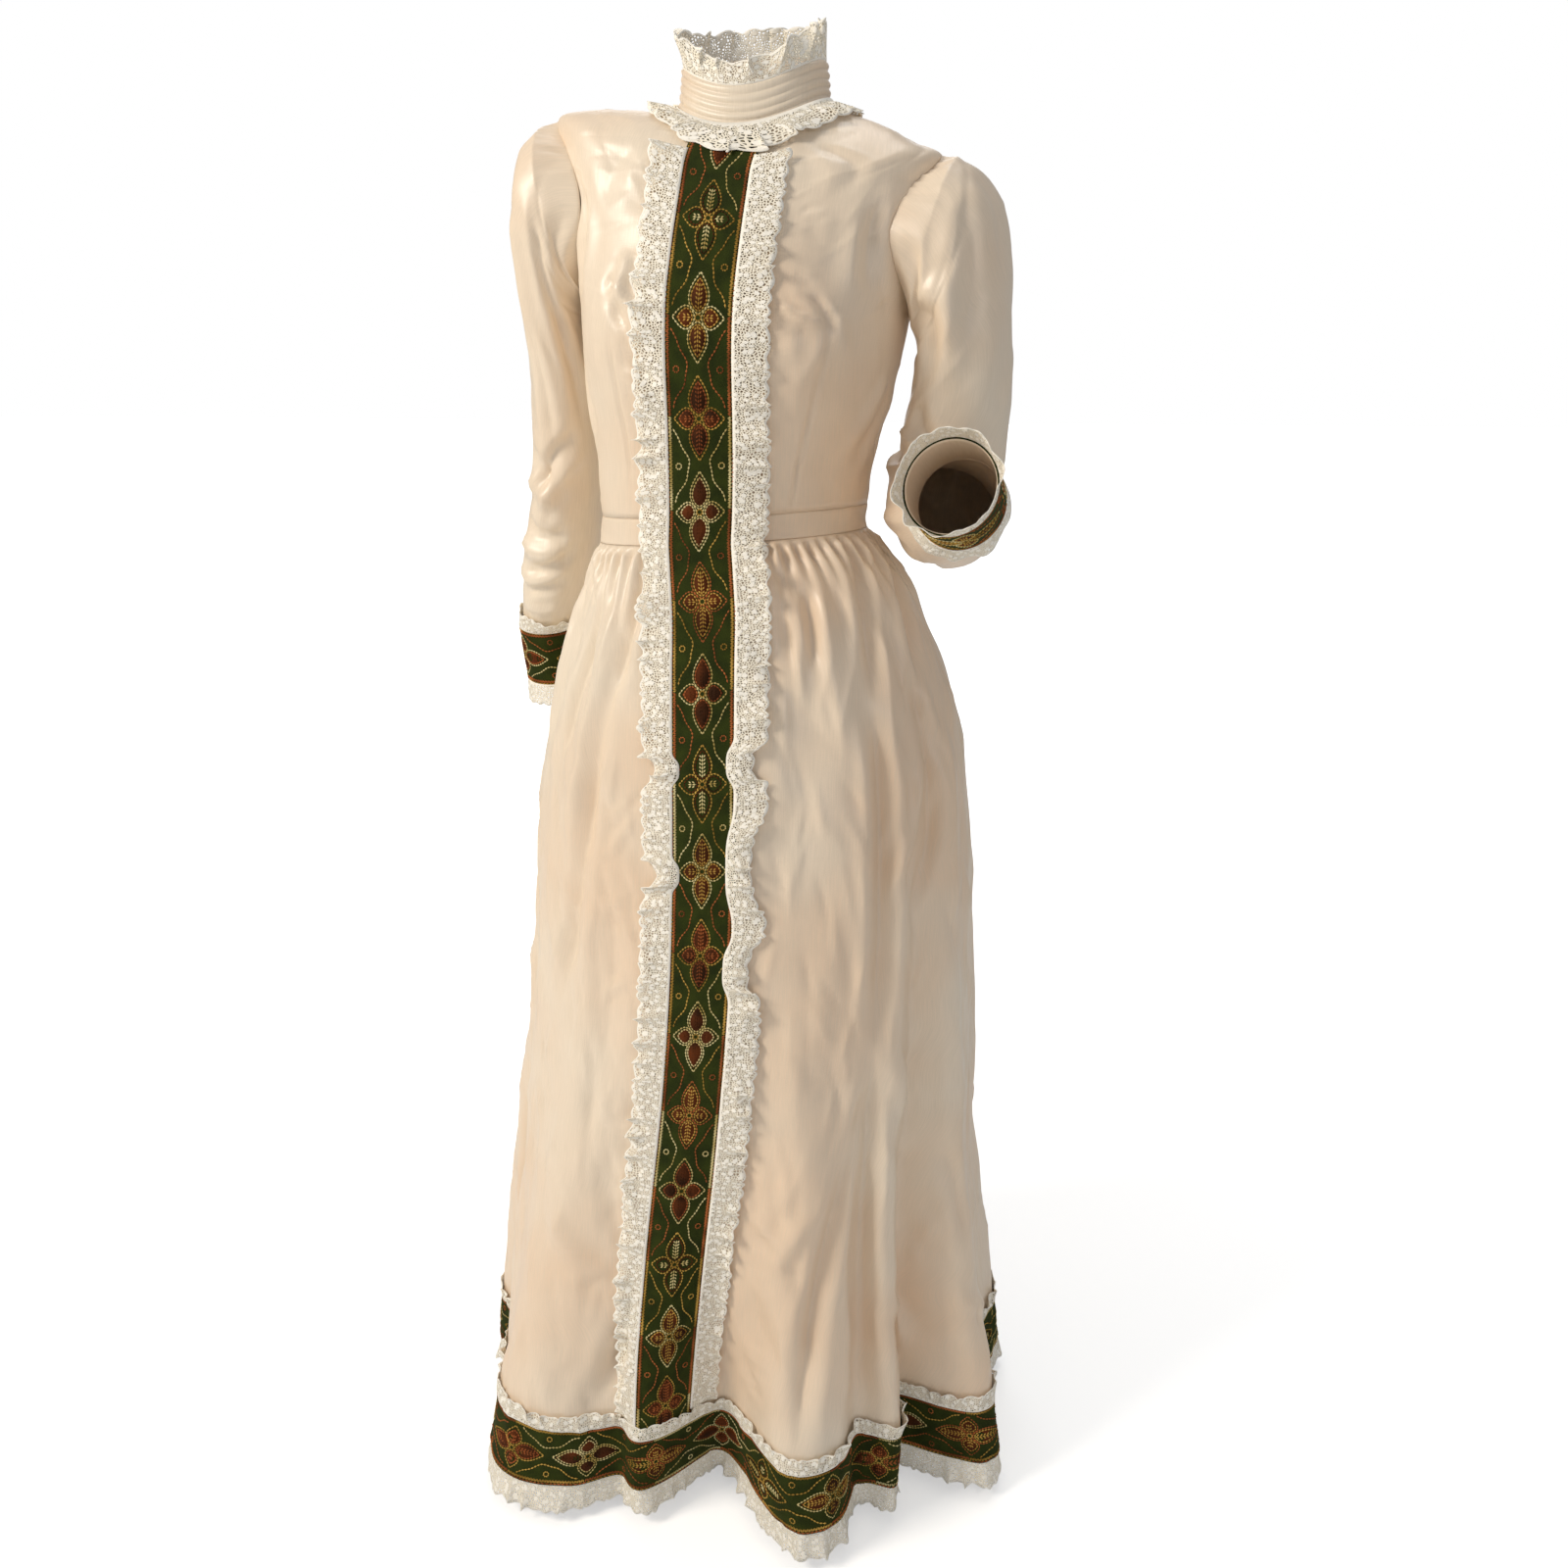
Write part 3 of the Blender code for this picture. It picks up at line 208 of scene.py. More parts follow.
SKIRT_CREASES = (
    (-0.400, 65, -0.560, 46, 7, 11, -5.5, -6),
    (-0.540, 47, -0.930, 43, 9, 12, -7.0, 3),
    (-0.880, 44, -1.360, 41, 10, 13, -7.5, -4),
    (-0.400, 92, -0.560, 64, 6, 9, -4.0, -8),
    (-0.520, 66, -0.760, 61, 8, 12, -4.5, 4),
    (-0.560, 74, -0.820, 70, 9, 14, 3.0, 5),
    (-0.600, 64, -0.745, 46, 7, 9, 2.6, 8),
    (-0.640, 68, -0.790, 52, 7, 9, -2.4, 8),
    (-0.430, 36, -0.520, 31, 5, 6, -3.0, 0),
    (-0.400, 30, -0.515, 25, 6, 8, -3.2, -4),
    (-0.410, 24, -0.560, 27, 9, 14, 2.8, 5),
    (-0.420, 41, -0.640, 36, 9, 16, 2.4, -5),
    (-0.388, -24, -0.560, -33, 6, 9, -3.6, 5),
    (-0.540, -32, -0.900, -45, 9, 14, -4.4, 6),
    (-0.410, -34, -0.700, -47, 8, 14, 3.0, 6),
    (-0.420, -44, -0.640, -56, 7, 12, -3.2, 5),
    (-0.700, -24, -1.050, -30, 14, 18, -2.6, 10),
    (-0.850, 24, -1.120, 30, 16, 20, 2.4, -8),
    (-1.060, 15, -1.122, 22, 9, 9, 3.2, 9),
    (-1.122, 22, -1.048, 29, 9, 9, 3.0, 9),
    (-1.080, 18, -1.150, 26, 8, 9, -3.0, 8),
    (-1.040, 35, -1.330, 23, 9, 12, -6.0, -5),
    (-0.930, 41, -1.100, 30, 8, 10, -3.4, 5),
    (-1.090, -7, -1.340, -21, 10, 13, -5.5, 6),
    (-1.150, -13, -1.260, -7, 8, 9, 3.0, -8),
    (-1.190, -16, -1.225, -7, 6, 7, 2.6, 4),
    (-1.010, -24, -1.200, -12, 12, 12, -2.6, 12),
    (-1.080, -34, -1.160, -12, 10, 9, 2.4, -10),
    (-0.930, -18, -0.985, -10, 4, 4, -1.6, 2),
    (-0.950, -20, -1.005, -10, 4, 4, 1.6, 2),
    (-0.985, -19, -1.035, -9, 4, 4, -1.5, 2),
    (-1.020, -20, -1.075, -9, 4, 5, 1.6, 3),
    (-1.170, 48, -1.275, 62, 8, 9, 3.4, 9),
    (-1.190, 56, -1.290, 60, 8, 9, -3.0, -7),
    (-1.200, 66, -1.240, 80, 8, 9, 2.2, 6),
    (-1.020, 66, -1.160, 71, 7, 8, -2.6, 6),
    (-0.900, 52, -1.050, 62, 12, 16, 2.4, -8),
    (-0.400, 108, -0.700, 100, 7, 14, -4.0, 6),
    (-0.400, 124, -0.780, 122, 7, 16, -4.4, -6),
    (-0.640, 110, -1.100, 107, 10, 16, 3.4, 8),
    (-0.400, 146, -0.720, 148, 7, 14, -4.2, 5),
    (-0.700, 142, -1.200, 145, 10, 16, -4.6, 8),
    (-0.400, 166, -0.640, 168, 7, 13, -3.6, -4),
    (-0.900, 160, -1.250, 152, 12, 14, 3.4, 9),
    (-0.400, -170, -0.700, -168, 7, 14, -4.0, 5),
    (-0.780, -172, -1.230, -166, 11, 15, -4.4, -7),
    (-0.400, -148, -0.660, -150, 7, 13, -3.6, 4),
    (-0.640, -148, -1.080, -146, 10, 16, 3.4, 8),
    (-0.400, -126, -0.760, -124, 7, 15, -4.4, -6),
    (-0.850, -128, -1.280, -122, 11, 15, -4.2, 7),
    (-0.400, -104, -0.640, -100, 7, 13, -3.8, 5),
    (-0.560, -82, -0.960, -78, 9, 15, -3.8, 6),
    (-0.420, -72, -0.600, -66, 7, 12, 2.8, 5),
    (-1.000, -70, -1.300, -62, 12, 15, -4.4, 8),
    (-1.120, 118, -1.240, 132, 9, 10, 3.0, 10),
    (-1.150, -108, -1.270, -96, 9, 10, 3.0, -10),
)
# The same columns for the sleeves, with rows in place of levels
RIGHT_SLEEVE_CREASES = (
    (0.30, 100, 1.60, 150, 6, 9, -2.6, 4),
    (1.30, 96, 5.20, 128, 7, 11, -3.6, -8),
    (1.80, 110, 6.20, 138, 6, 10, 2.8, -7),
    (3.80, 132, 7.10, 149, 7, 10, -4.8, 5),
    (1.60, 40, 4.60, 52, 10, 14, -2.4, 6),
    (2.60, 62, 6.40, 84, 9, 13, 2.6, 8),
    (5.00, 70, 7.30, 106, 8, 10, -3.0, 6),
    (6.90, 140, 8.10, 52, 6, 7, -4.2, 10),
    (7.25, 150, 8.45, 60, 6, 8, 3.6, 8),
    (7.30, 30, 7.75, 92, 6, 6, -3.6, -5),
    (7.75, 24, 8.35, 120, 7, 7, 4.0, -7),
    (8.40, 26, 8.70, 136, 6, 8, -5.2, 7),
    (8.80, 30, 9.05, 122, 7, 8, 4.0, 6),
    (9.00, 140, 9.45, 34, 6, 7, -4.4, -8),
    (9.50, 20, 9.75, 112, 6, 6, 2.6, 5),
    (9.85, 130, 10.25, 40, 6, 6, -3.0, 6),
    (10.40, 40, 10.60, 120, 5, 5, 1.8, 4),
    (7.10, -60, 8.00, 26, 7, 7, -3.6, 6),
    (8.10, -80, 8.90, 20, 7, 8, -4.0, -7),
    (8.90, -70, 9.60, 24, 6, 7, -3.2, 6),
    (6.40, 200, 7.60, 262, 8, 9, -3.6, 8),
    (7.70, 190, 8.60, 268, 7, 8, -3.8, -7),
    (8.90, 186, 9.70, 258, 6, 7, -3.0, 6),
    (1.20, 210, 4.80, 236, 8, 12, -3.0, 7),
    (2.00, 250, 5.60, 276, 9, 12, 2.4, -7),
    (1.40, 300, 4.40, 318, 9, 13, -2.2, 6),
    (4.60, 300, 7.20, 330, 9, 11, -2.6, 7),
)
LEFT_SLEEVE_CREASES = (
    (0.40, 96, 1.60, 146, 6, 9, -2.6, 4),
    (0.60, 148, 5.80, 112, 7, 10, -3.8, 7),
    (1.20, 132, 5.20, 98, 8, 11, 2.6, 8),
    (2.80, 160, 5.60, 158, 6, 8, -4.0, 3),
    (1.60, 60, 5.40, 82, 9, 13, -2.4, 7),
    (2.40, 92, 5.20, 84, 9, 12, 2.6, -6),
    (1.40, 24, 4.40, 34, 9, 13, -1.8, 5),
    (4.60, 50, 7.00, 66, 10, 12, 2.2, 7),
    (5.80, 130, 7.60, 96, 7, 9, -3.8, -6),
    (6.40, 160, 8.00, 116, 6, 8, 3.4, 6),
    (6.60, 176, 8.30, 128, 6, 8, -5.0, -6),
    (7.00, 190, 8.60, 150, 6, 8, 3.2, 5),
    (7.10, 80, 8.80, 104, 7, 8, -3.2, 7),
    (7.60, 60, 9.40, 96, 8, 8, 2.8, -7),
    (8.60, 104, 10.60, 166, 7, 8, -3.6, 6),
    (9.00, 92, 11.60, 150, 7, 8, 2.6, -5),
    (9.20, 200, 11.40, 228, 7, 8, -3.2, 6),
    (9.80, 180, 12.20, 196, 7, 7, 2.2, 5),
    (8.80, 250, 11.60, 266, 8, 9, -2.8, 7),
    (7.40, 268, 9.00, 316, 8, 9, -3.0, -6),
    (6.20, 226, 7.80, 268, 7, 9, -3.8, 6),
    (6.90, 210, 8.30, 240, 7, 9, 3.0, -5),
    (1.20, 206, 5.00, 232, 8, 12, -3.0, 7),
    (2.00, 246, 5.60, 270, 9, 12, 2.4, -7),
    (1.40, 300, 4.40, 316, 9, 13, -2.2, 6),
)
# Gathers seen at the waist: angle, depth in mm, length in metres, half width in degrees
WAIST_GATHERS = (
    (21, 3.0, 0.050, 1.7), (26, 3.6, 0.110, 1.9), (32, 4.0, 0.075, 1.9), (38, 3.4, 0.055, 1.7),
    (44, 4.2, 0.120, 2.0), (49, 3.4, 0.060, 1.7), (55, 4.0, 0.085, 1.9), (61, 4.4, 0.150, 2.2),
    (68, 3.6, 0.070, 1.9), (75, 4.2, 0.130, 2.1), (82, 4.2, 0.180, 2.2),
    (-20, 2.6, 0.060, 1.7), (-26, 3.4, 0.130, 1.9), (-32, 3.4, 0.180, 2.1), (-39, 3.8, 0.090, 1.9),
    (-46, 3.4, 0.140, 2.0), (-52, 3.8, 0.070, 1.9), (-59, 3.8, 0.150, 2.1), (-66, 3.6, 0.080, 1.9),
    (-74, 4.0, 0.160, 2.1), (-82, 3.8, 0.100, 2.0),
)
# name, first and last angle of the panels below the bodice
PANELS = (("front", -90.0, 90.0), ("back_left", 90.0, 180.0), ("back_right", -180.0, -90.0))


class Side(Enum):
    """The wearer's sides, as the sign of their x."""

    LEFT = 1
    RIGHT = -1

    @property
    def word(self) -> str:
        """The side's name as the nodes spell it."""
        return self.name.lower()


class Thread(Enum):
    """Embroidery threads, as their lighter and darker dyed shades."""

    CREAM = ("#e6d7a0", "#b59c58")
    GOLD = ("#cfa552", "#94702f")
    RUST = ("#bc6c3c", "#7c4322")
    BROWN = ("#5e2e10", "#331b08")


def linear(colour: str) -> tuple[float, float, float, float]:
    """An sRGB hex colour as linear values with full alpha."""
    parts = [int(colour[i:i + 2], 16) / 255 for i in (1, 3, 5)]
    made = [c / 12.92 if c <= 0.04045 else ((c + 0.055) / 1.055) ** 2.4 for c in parts]
    return (*made, 1.0)


def new_object(name: str, data: bpy.types.ID, finish: bpy.types.Material | None = None) -> bpy.types.Object:
    """Puts data into the scene as an object, smooth and in its finish where it has one."""
    made = bpy.data.objects.new(name, data)
    bpy.context.scene.collection.objects.link(made)
    if finish:
        data.materials.append(finish)
        data.shade_smooth()
    return made


def add_wall(piece: bpy.types.Object, thickness: float, offset: float = -1.0) -> None:
    """Gives a surface its thickness: inwards at offset -1, both ways at 0."""
    wall = piece.modifiers.new("wall", "SOLIDIFY")
    wall.thickness, wall.offset = thickness, offset


def add_node(tree: bpy.types.NodeTree, kind: str, inputs: dict | None = None, **settings) -> bpy.types.Node:
    """Adds a node to a tree.

    Args:
        tree: The node tree.
        kind: The node's type name.
        inputs: Values or output sockets, by the input's name or number.
        **settings: The node's own properties.

    Returns:
        The node.
    """
    node = tree.nodes.new(kind)
    for name, value in settings.items():
        setattr(node, name, value)
    for name, value in (inputs or {}).items():
        if isinstance(value, bpy.types.NodeSocket):
            tree.links.new(value, node.inputs[name])
        else:
            node.inputs[name].default_value = value
    return node


class Shader:
    """A material with one Principled shader, and short calls for the nodes that feed it."""

    def __init__(self, name: str, **constants) -> None:
        """Makes the material; constants are shader inputs, with underscores for spaces."""
        self.material = bpy.data.materials.new(name)
        self.material.use_nodes = True
        self.tree = self.material.node_tree
        self.inputs = self.tree.nodes["Principled BSDF"].inputs
        for key, value in constants.items():
            self.inputs[key.replace("_", " ")].default_value = value

    def add(self, kind: str, inputs: dict | None = None, **settings) -> bpy.types.Node:
        """Adds a shader node, as add_node does."""
        return add_node(self.tree, "ShaderNode" + kind, inputs, **settings)

    def chart(self, name: str = "chart") -> Socket:
        """One of the piece's flat maps."""
        return self.add("UVMap", uv_map=name).outputs[0]

    def place(self) -> Socket:
        """The point in the object's own metres."""
        return self.add("TexCoord").outputs["Object"]

    def scaled(self, vector: Socket, first: float, second: float) -> Socket:
        """A flat map stretched each way."""
        return self.add("Mapping", {"Vector": vector, "Scale": (first, second, 1.0)}).outputs[0]

    def noise(self, vector: Socket, scale: float, detail: float, kind: str = "FBM", **more) -> Socket:
        """Soft noise."""
        return self.add("TexNoise", {
            "Vector": vector, "Scale": scale, "Detail": detail, **more}, noise_type=kind).outputs[0]

    def cells(self, vector: Socket, size: float, randomness: float, feature: str = "F1") -> Socket:
        """Distance inside the cells of a scattered pattern."""
        return self.add("TexVoronoi", {
            "Vector": vector, "Scale": 1 / size, "Randomness": randomness},
            voronoi_dimensions="2D", feature=feature).outputs["Distance"]

    def spread(self, value: Socket, low: float, high: float, low_to: float = 0.0, high_to: float = 1.0,
               kind: str = "LINEAR") -> Socket:
        """A value's range turned into another; low may lie above high."""
        return self.add("MapRange", {
            "Value": value, "From Min": low, "From Max": high, "To Min": low_to, "To Max": high_to},
            interpolation_type=kind).outputs[0]

    def blend(self, share: Socket, first: Socket | str, second: str) -> Socket:
        """A mix of two colours."""
        first = linear(first) if isinstance(first, str) else first
        return self.add("Mix", {
            "Factor": share, "A": first, "B": linear(second)}, data_type="RGBA").outputs["Result"]

    def combine(self, operation: str, first: Socket, second: Socket) -> Socket:
        """Two values joined by one operation."""
        return self.add("Math", {0: first, 1: second}, operation=operation).outputs[0]

    def bump(self, height: Socket, strength: float, metres: float, **more: Socket) -> Socket:
        """A normal that follows a height."""
        return self.add("Bump", {
            "Height": height, "Strength": strength, "Distance": metres, **more}).outputs[0]

    def feed(self, **sockets: Socket) -> bpy.types.Material:
        """Links sockets to the shader's inputs and returns the finished material."""
        for key, socket in sockets.items():
            self.tree.links.new(socket, self.inputs[key.replace("_", " ")])
        return self.material


@dataclass(frozen=True)
class Taffeta:
    """Pale peach taffeta with a satin face: crisp, softly shiny, with fine slubs down its length."""

    light: str = "#f1e2cc"
    warm: str = "#edd2b5"
    cool: str = "#d3c6af"
    slub: float = 0.0011  # across one slub; real threads are finer than the render shows
    crinkle: float = 0.0065  # height of the small sharp creases

    def build(self) -> bpy.types.Material:
        """Returns the material."""
        made = Shader("taffeta", Roughness=0.38, Sheen_Weight=0.06, Sheen_Roughness=0.4,
                      Specular_IOR_Level=0.6, Anisotropic=0.3)
        chart = made.chart()
        fine, long, wide = 1 / self.slub, 1 / (self.slub * 26), 1 / (self.slub * 18)
        threads = made.noise(made.scaled(chart, fine, long), 1.0, 3.0, Roughness=0.6)
        ribs = made.noise(made.scaled(chart, wide, fine), 1.0, 2.0)
        cloudy = made.noise(made.place(), 3.2, 3.0, Roughness=0.55)
        tone = made.blend(made.spread(cloudy, 0.38, 0.62), self.warm, self.light)
        weave = made.bump(made.combine("ADD", threads, ribs), 0.35, 0.00025)
        # Small sharp creases that crisp cloth keeps, in patches
        folded = made.noise(
            made.scaled(chart, 13.0, 6.5), 1.0, 2.0, "RIDGED_MULTIFRACTAL", Roughness=0.45, Distortion=0.6)
        crinkle = made.combine("MULTIPLY", folded, made.spread(cloudy, 0.42, 0.60, 0.25, 1.0))
        return made.feed(
            Base_Color=made.blend(made.spread(threads, 0.35, 0.65, 0.0, 0.30), tone, self.cool),
            Roughness=made.spread(threads, 0.3, 0.7, 0.30, 0.44),
            Normal=made.bump(crinkle, 1.0, self.crinkle, Normal=weave))


@dataclass(frozen=True)
class Velvet:
    """Woven olive-green velvet: a dense cut pile, dark face on and paler where it turns away."""

    deep: str = "#20270a"
    worn: str = "#343c10"
    sheen: str = "#6f7638"
    pile: float = 0.0009

    def build(self) -> bpy.types.Material:
        """Returns the material."""
        made = Shader("velvet ribbon", Roughness=0.92, Sheen_Weight=0.16, Sheen_Roughness=0.3,
                      Specular_IOR_Level=0.15, Sheen_Tint=linear(self.sheen))
        chart = made.chart()
        nap = made.noise(chart, 1 / self.pile, 2.0)
        both = made.combine("ADD", nap, made.noise(chart, 55.0, 3.0))
        return made.feed(
            Base_Color=made.blend(made.spread(both, 0.75, 1.25), self.deep, self.worn),
            Normal=made.bump(nap, 0.6, 0.0004))


@dataclass(frozen=True)
class Floss:
    """Space-dyed embroidery floss: its shade drifts along the ribbon, with a soft silky shine."""

    thread: Thread

    def build(self) -> bpy.types.Material:
        """Returns the material."""
        made = Shader(f"{self.thread.name.lower()} floss", Roughness=0.8, Specular_IOR_Level=0.12)
        light, dark = self.thread.value
        place = made.place()
        share = made.spread(made.noise(place, 38.0, 1.0), 0.36, 0.64)
        return made.feed(
            Base_Color=made.blend(share, dark, light),
            Normal=made.bump(made.noise(place, 1800.0, 1.0), 0.5, 0.0003))


@dataclass(frozen=True)
class CottonLace:
    """Cream machine lace: a net ground with worked spots, and corded edges."""

    thick: str = "#fffaee"
    thin: str = "#faf2df"
    mesh: float = 0.0029  # from hole to hole of the ground, drawn coarser than the real 1 mm net
    flower: float = 0.0088  # from one worked spot to the next

    def build(self) -> bpy.types.Material:
        """Returns the material."""
        made = Shader("cotton lace", Roughness=0.88, Sheen_Weight=0.15, Specular_IOR_Level=0.2)
        chart, soft = made.chart(), "SMOOTHSTEP"
        share = made.add("SeparateXYZ", {0: made.chart("across")}).outputs[1]
        net = made.cells(chart, self.mesh, 0.9, "DISTANCE_TO_EDGE")
        solid = made.spread(made.cells(chart, self.flower, 0.85), 0.36, 0.26, kind=soft)
        for low, high in ((0.92, 0.96), (0.10, 0.05)):
            solid = made.combine("MAXIMUM", solid, made.spread(share, low, high, kind=soft))
        body = made.combine("MAXIMUM", made.spread(net, 0.28, 0.19, kind=soft), solid)
        return made.feed(
            Alpha=body, Base_Color=made.blend(solid, self.thin, self.thick),
            Normal=made.bump(made.combine("ADD", body, solid), 0.7, 0.0005))


@dataclass(frozen=True)
class Nickel:
    """Stamped nickel, tumbled: a dull grey shine with faint scratches."""

    colour: str = "#b9b4a8"

    def build(self) -> bpy.types.Material:
        """Returns the material."""
        made = Shader("nickel", Metallic=1.0, Base_Color=linear(self.colour))
        return made.feed(Roughness=made.spread(made.noise(made.place(), 900.0, 3.0), 0.0, 1.0, 0.25, 0.5))


@dataclass(frozen=True)
class Floor:
    """A pale floor that runs out into the white of the room: it glows more with distance."""

    pale: str = "#f4f4f3"
    paler: str = "#f7f7f6"

    def build(self) -> bpy.types.Material:
        """Returns the material; its glow is seen by the camera alone and lights nothing."""
        made = Shader("pale floor", Roughness=0.8, Specular_IOR_Level=0.2, Emission_Color=linear("#ffffff"))
        place = made.place()
        away = made.add("VectorMath", {0: place}, operation="LENGTH").outputs["Value"]
        seen = made.add("LightPath").outputs["Is Camera Ray"]
        return made.feed(
            Base_Color=made.blend(made.noise(place, 2.0, 2.0), self.pale, self.paler),
            Emission_Strength=made.combine("MULTIPLY", made.spread(away, 1.45, 3.6, 0.45, 1.0), seen))


@dataclass
class Finishes:
    """Every material of the dress."""

    taffeta: bpy.types.Material
    velvet: bpy.types.Material
    lace: bpy.types.Material
    nickel: bpy.types.Material
    floss: dict[Thread, bpy.types.Material]

    @classmethod
    def build(cls) -> "Finishes":
        """Builds them all."""
        return cls(
            Taffeta().build(), Velvet().build(), CottonLace().build(), Nickel().build(),
            {thread: Floss(thread).build() for thread in Thread})


def read_table(table: Array, key: Array) -> Array:
    """Reads a table's later columns on a smooth curve through its rows.

    Args:
        table: Rows in rising order of their first column.
        key: Values of the first column, in any shape.

    Returns:
        One array of the key's shape for each later column.
    """
    keys, values = table[:, 0], table[:, 1:]
    key = np.clip(np.asarray(key, float), keys[0], keys[-1])
    i = np.clip(np.searchsorted(keys, key, side="right") - 1, 0, len(keys) - 2)
    slopes = np.gradient(values, keys, axis=0)
    gap = (keys[i + 1] - keys[i])[..., None]
    t = (key - keys[i])[..., None] / gap
    found = (
        values[i] * (2 * t**3 - 3 * t**2 + 1) + values[i + 1] * (3 * t**2 - 2 * t**3)
        + slopes[i] * gap * (t**3 - 2 * t**2 + t) + slopes[i + 1] * gap * (t**3 - t**2))
    return np.moveaxis(found, -1, 0)


def turn_between(first: Array, second: Array) -> Array:
    """The signed turn in degrees from the second angle to the first."""
    return (np.asarray(first) - second + 180.0) % 360.0 - 180.0


def smooth(value: Array) -> Array:
    """0 below 0, 1 above 1, and a smooth rise between."""
    value = np.clip(value, 0.0, 1.0)
    return value * value * (3 - 2 * value)


def run_along(points: Array) -> Array:
    """Metres from the start to each point of a line, or of every line in rows of points."""
    step = np.linalg.norm(np.diff(points, axis=-2), axis=-1)
    return np.concatenate([np.zeros((*step.shape[:-1], 1)), np.cumsum(step, axis=-1)], axis=-1)


def normals_of(down: Array, across: Array) -> Array:
    """Unit vectors square to two fields of directions."""
    normal = np.cross(down, across)
    return normal / np.linalg.norm(normal, axis=-1, keepdims=True)


@dataclass
class Relief:
    """Soft troughs and ridges on a flat chart, and a faint unevenness between them."""

    creases: tuple[tuple[float, ...], ...]
    gathers: tuple[tuple[float, ...], ...]
    seam: float  # chart height, in level or row units, of the seam that the gathers hang from
    seed: int
    strength: float = 1.0
    uneven: float = 0.0012
    crisp: float = 0.0010
    lean: float = math.pi  # how far the small creases may turn from upright

    def crease_height(self, up: Array, angle: Array, radius: Array, unit: float) -> Array:
        """Height of all creases.

        Args:
            up: Level or row of each point.
            angle: Angle of each point.
            radius: Radius in metres that turns an angle into a width.
            unit: Metres for each unit of up.

        Returns:
            Metres outwards at each point.
        """
        total = np.zeros(up.shape)
        for up0, angle0, up1, angle1, width0, width1, depth, bend in self.creases:
            near = radius.flat[int(np.argmin(np.abs(up - (up0 + up1) / 2)))]
            end = np.array([math.radians(angle1 - angle0) * near, (up1 - up0) * unit])
            length = float(np.linalg.norm(end))
            direction = end / length
            x = np.radians(turn_between(angle, angle0)) * radius
            y = (up - up0) * unit
            share = (x * direction[0] + y * direction[1]) / length
            inside = (share > -0.05) & (share < 1.05)
            if not inside.any():
                continue
            side = -x * direction[1] + y * direction[0] - bend / 1000 * 4 * share * (1 - share)
            width = (width0 + (width1 - width0) * share) / 1000
            ratio = np.abs(side) / width
            shape = np.exp(-ratio**1.3) - 0.30 * np.exp(-1.4 * (ratio - 1.8) ** 2)
            taper = smooth(share / 0.22) * smooth((1 - share) / 0.35)
            total += np.where(inside, self.strength * depth / 1000 * shape * taper, 0.0)
        return total

    def gather_height(self, up: Array, angle: Array, unit: float) -> Array:
        """Height of the gathers below their seam, as crease_height gives it."""
        total = np.zeros(up.shape)
        below = np.abs(up - self.seam) * unit
        for middle, depth, length, half in self.gathers:
            share = below / (1.5 * length)
            width = half * (1 + 1.1 * np.clip(share, 0, 1))
            ratio = np.abs(turn_between(angle, middle)) / width
            fade = smooth(below / 0.006) * np.clip(1 - share, 0, 1) * (0.6 + 0.9 * np.exp(-below / 0.025))
            shape = np.exp(-ratio**1.3) - 0.45 * np.exp(-1.6 * (ratio - 1.6) ** 2)
            total -= 1.45 * depth / 1000 * fade * shape
        return total

    def drift(self, x: Array, y: Array) -> Array:
        """A slow unevenness and small crisp creases, in patches, from waves of fixed seed."""
        rng = np.random.default_rng(self.seed)
        soft, crisp = np.zeros(x.shape), np.zeros(x.shape)
        for _ in range(16):
            heading, size = rng.uniform(-self.lean, self.lean) / 2, rng.uniform(0.040, 0.13)
            first, second, third = rng.uniform(0, 6.3, 3)
            across = x * math.cos(heading) + y * math.sin(heading)
            along = -x * math.sin(heading) + y * math.cos(heading)
            patch = (0.5 + 0.5 * np.sin(2 * math.pi * along / (2.6 * size) + first)) ** 2
            soft += np.sin(2 * math.pi * across / size + second) * patch * size / 0.13
            line = (1 - np.abs(np.sin(math.pi * across / (1.7 * size) + third + 4 * along))) ** 7
            crisp += rng.choice((-1, 1)) * line * patch**1.5
        return soft * self.uneven * 0.45 + crisp * self.crisp


def back_gathers(seed: int) -> tuple[tuple[float, ...], ...]:
    """Gathers round the back of the waist, uneven in place, depth and length."""
    rng = np.random.default_rng(seed)
    made, angle = [], 88.0
    while angle < 272.0:
        made.append((angle, rng.uniform(3.0, 4.6), rng.uniform(0.05, 0.19), rng.uniform(1.7, 2.3)))
        angle += rng.uniform(5.2, 8.4)
    return tuple(made)


def puckers(seed: int, count: int, levels: tuple[float, float], angles: tuple[float, float],
            slant: float, depth: float) -> tuple[tuple[float, ...], ...]:
    """Short shallow puckers where trimming pulls at the cloth.

    Args:
        seed: Fixed seed of their places.
        count: How many there are.
        levels: Lowest and highest level.
        angles: Range of their inner ends.
        slant: Degrees that each runs round.
        depth: Greatest depth in mm.

    Returns:
        Rows with the columns of the crease tables.
    """
    rng = np.random.default_rng(seed)
    made = []
    for _ in range(count):
        level, angle = rng.uniform(*levels), rng.uniform(*angles)
        run = slant * rng.uniform(0.5, 1.2)
        end = (level + rng.uniform(-0.03, 0.012), angle + run)
        widths = (rng.uniform(3, 5), rng.uniform(4, 7))
        deep = depth * rng.choice((-1, 1)) * rng.uniform(0.5, 1)
        made.append((level, angle, *end, *widths, deep, rng.uniform(-3, 3)))
    return tuple(made)


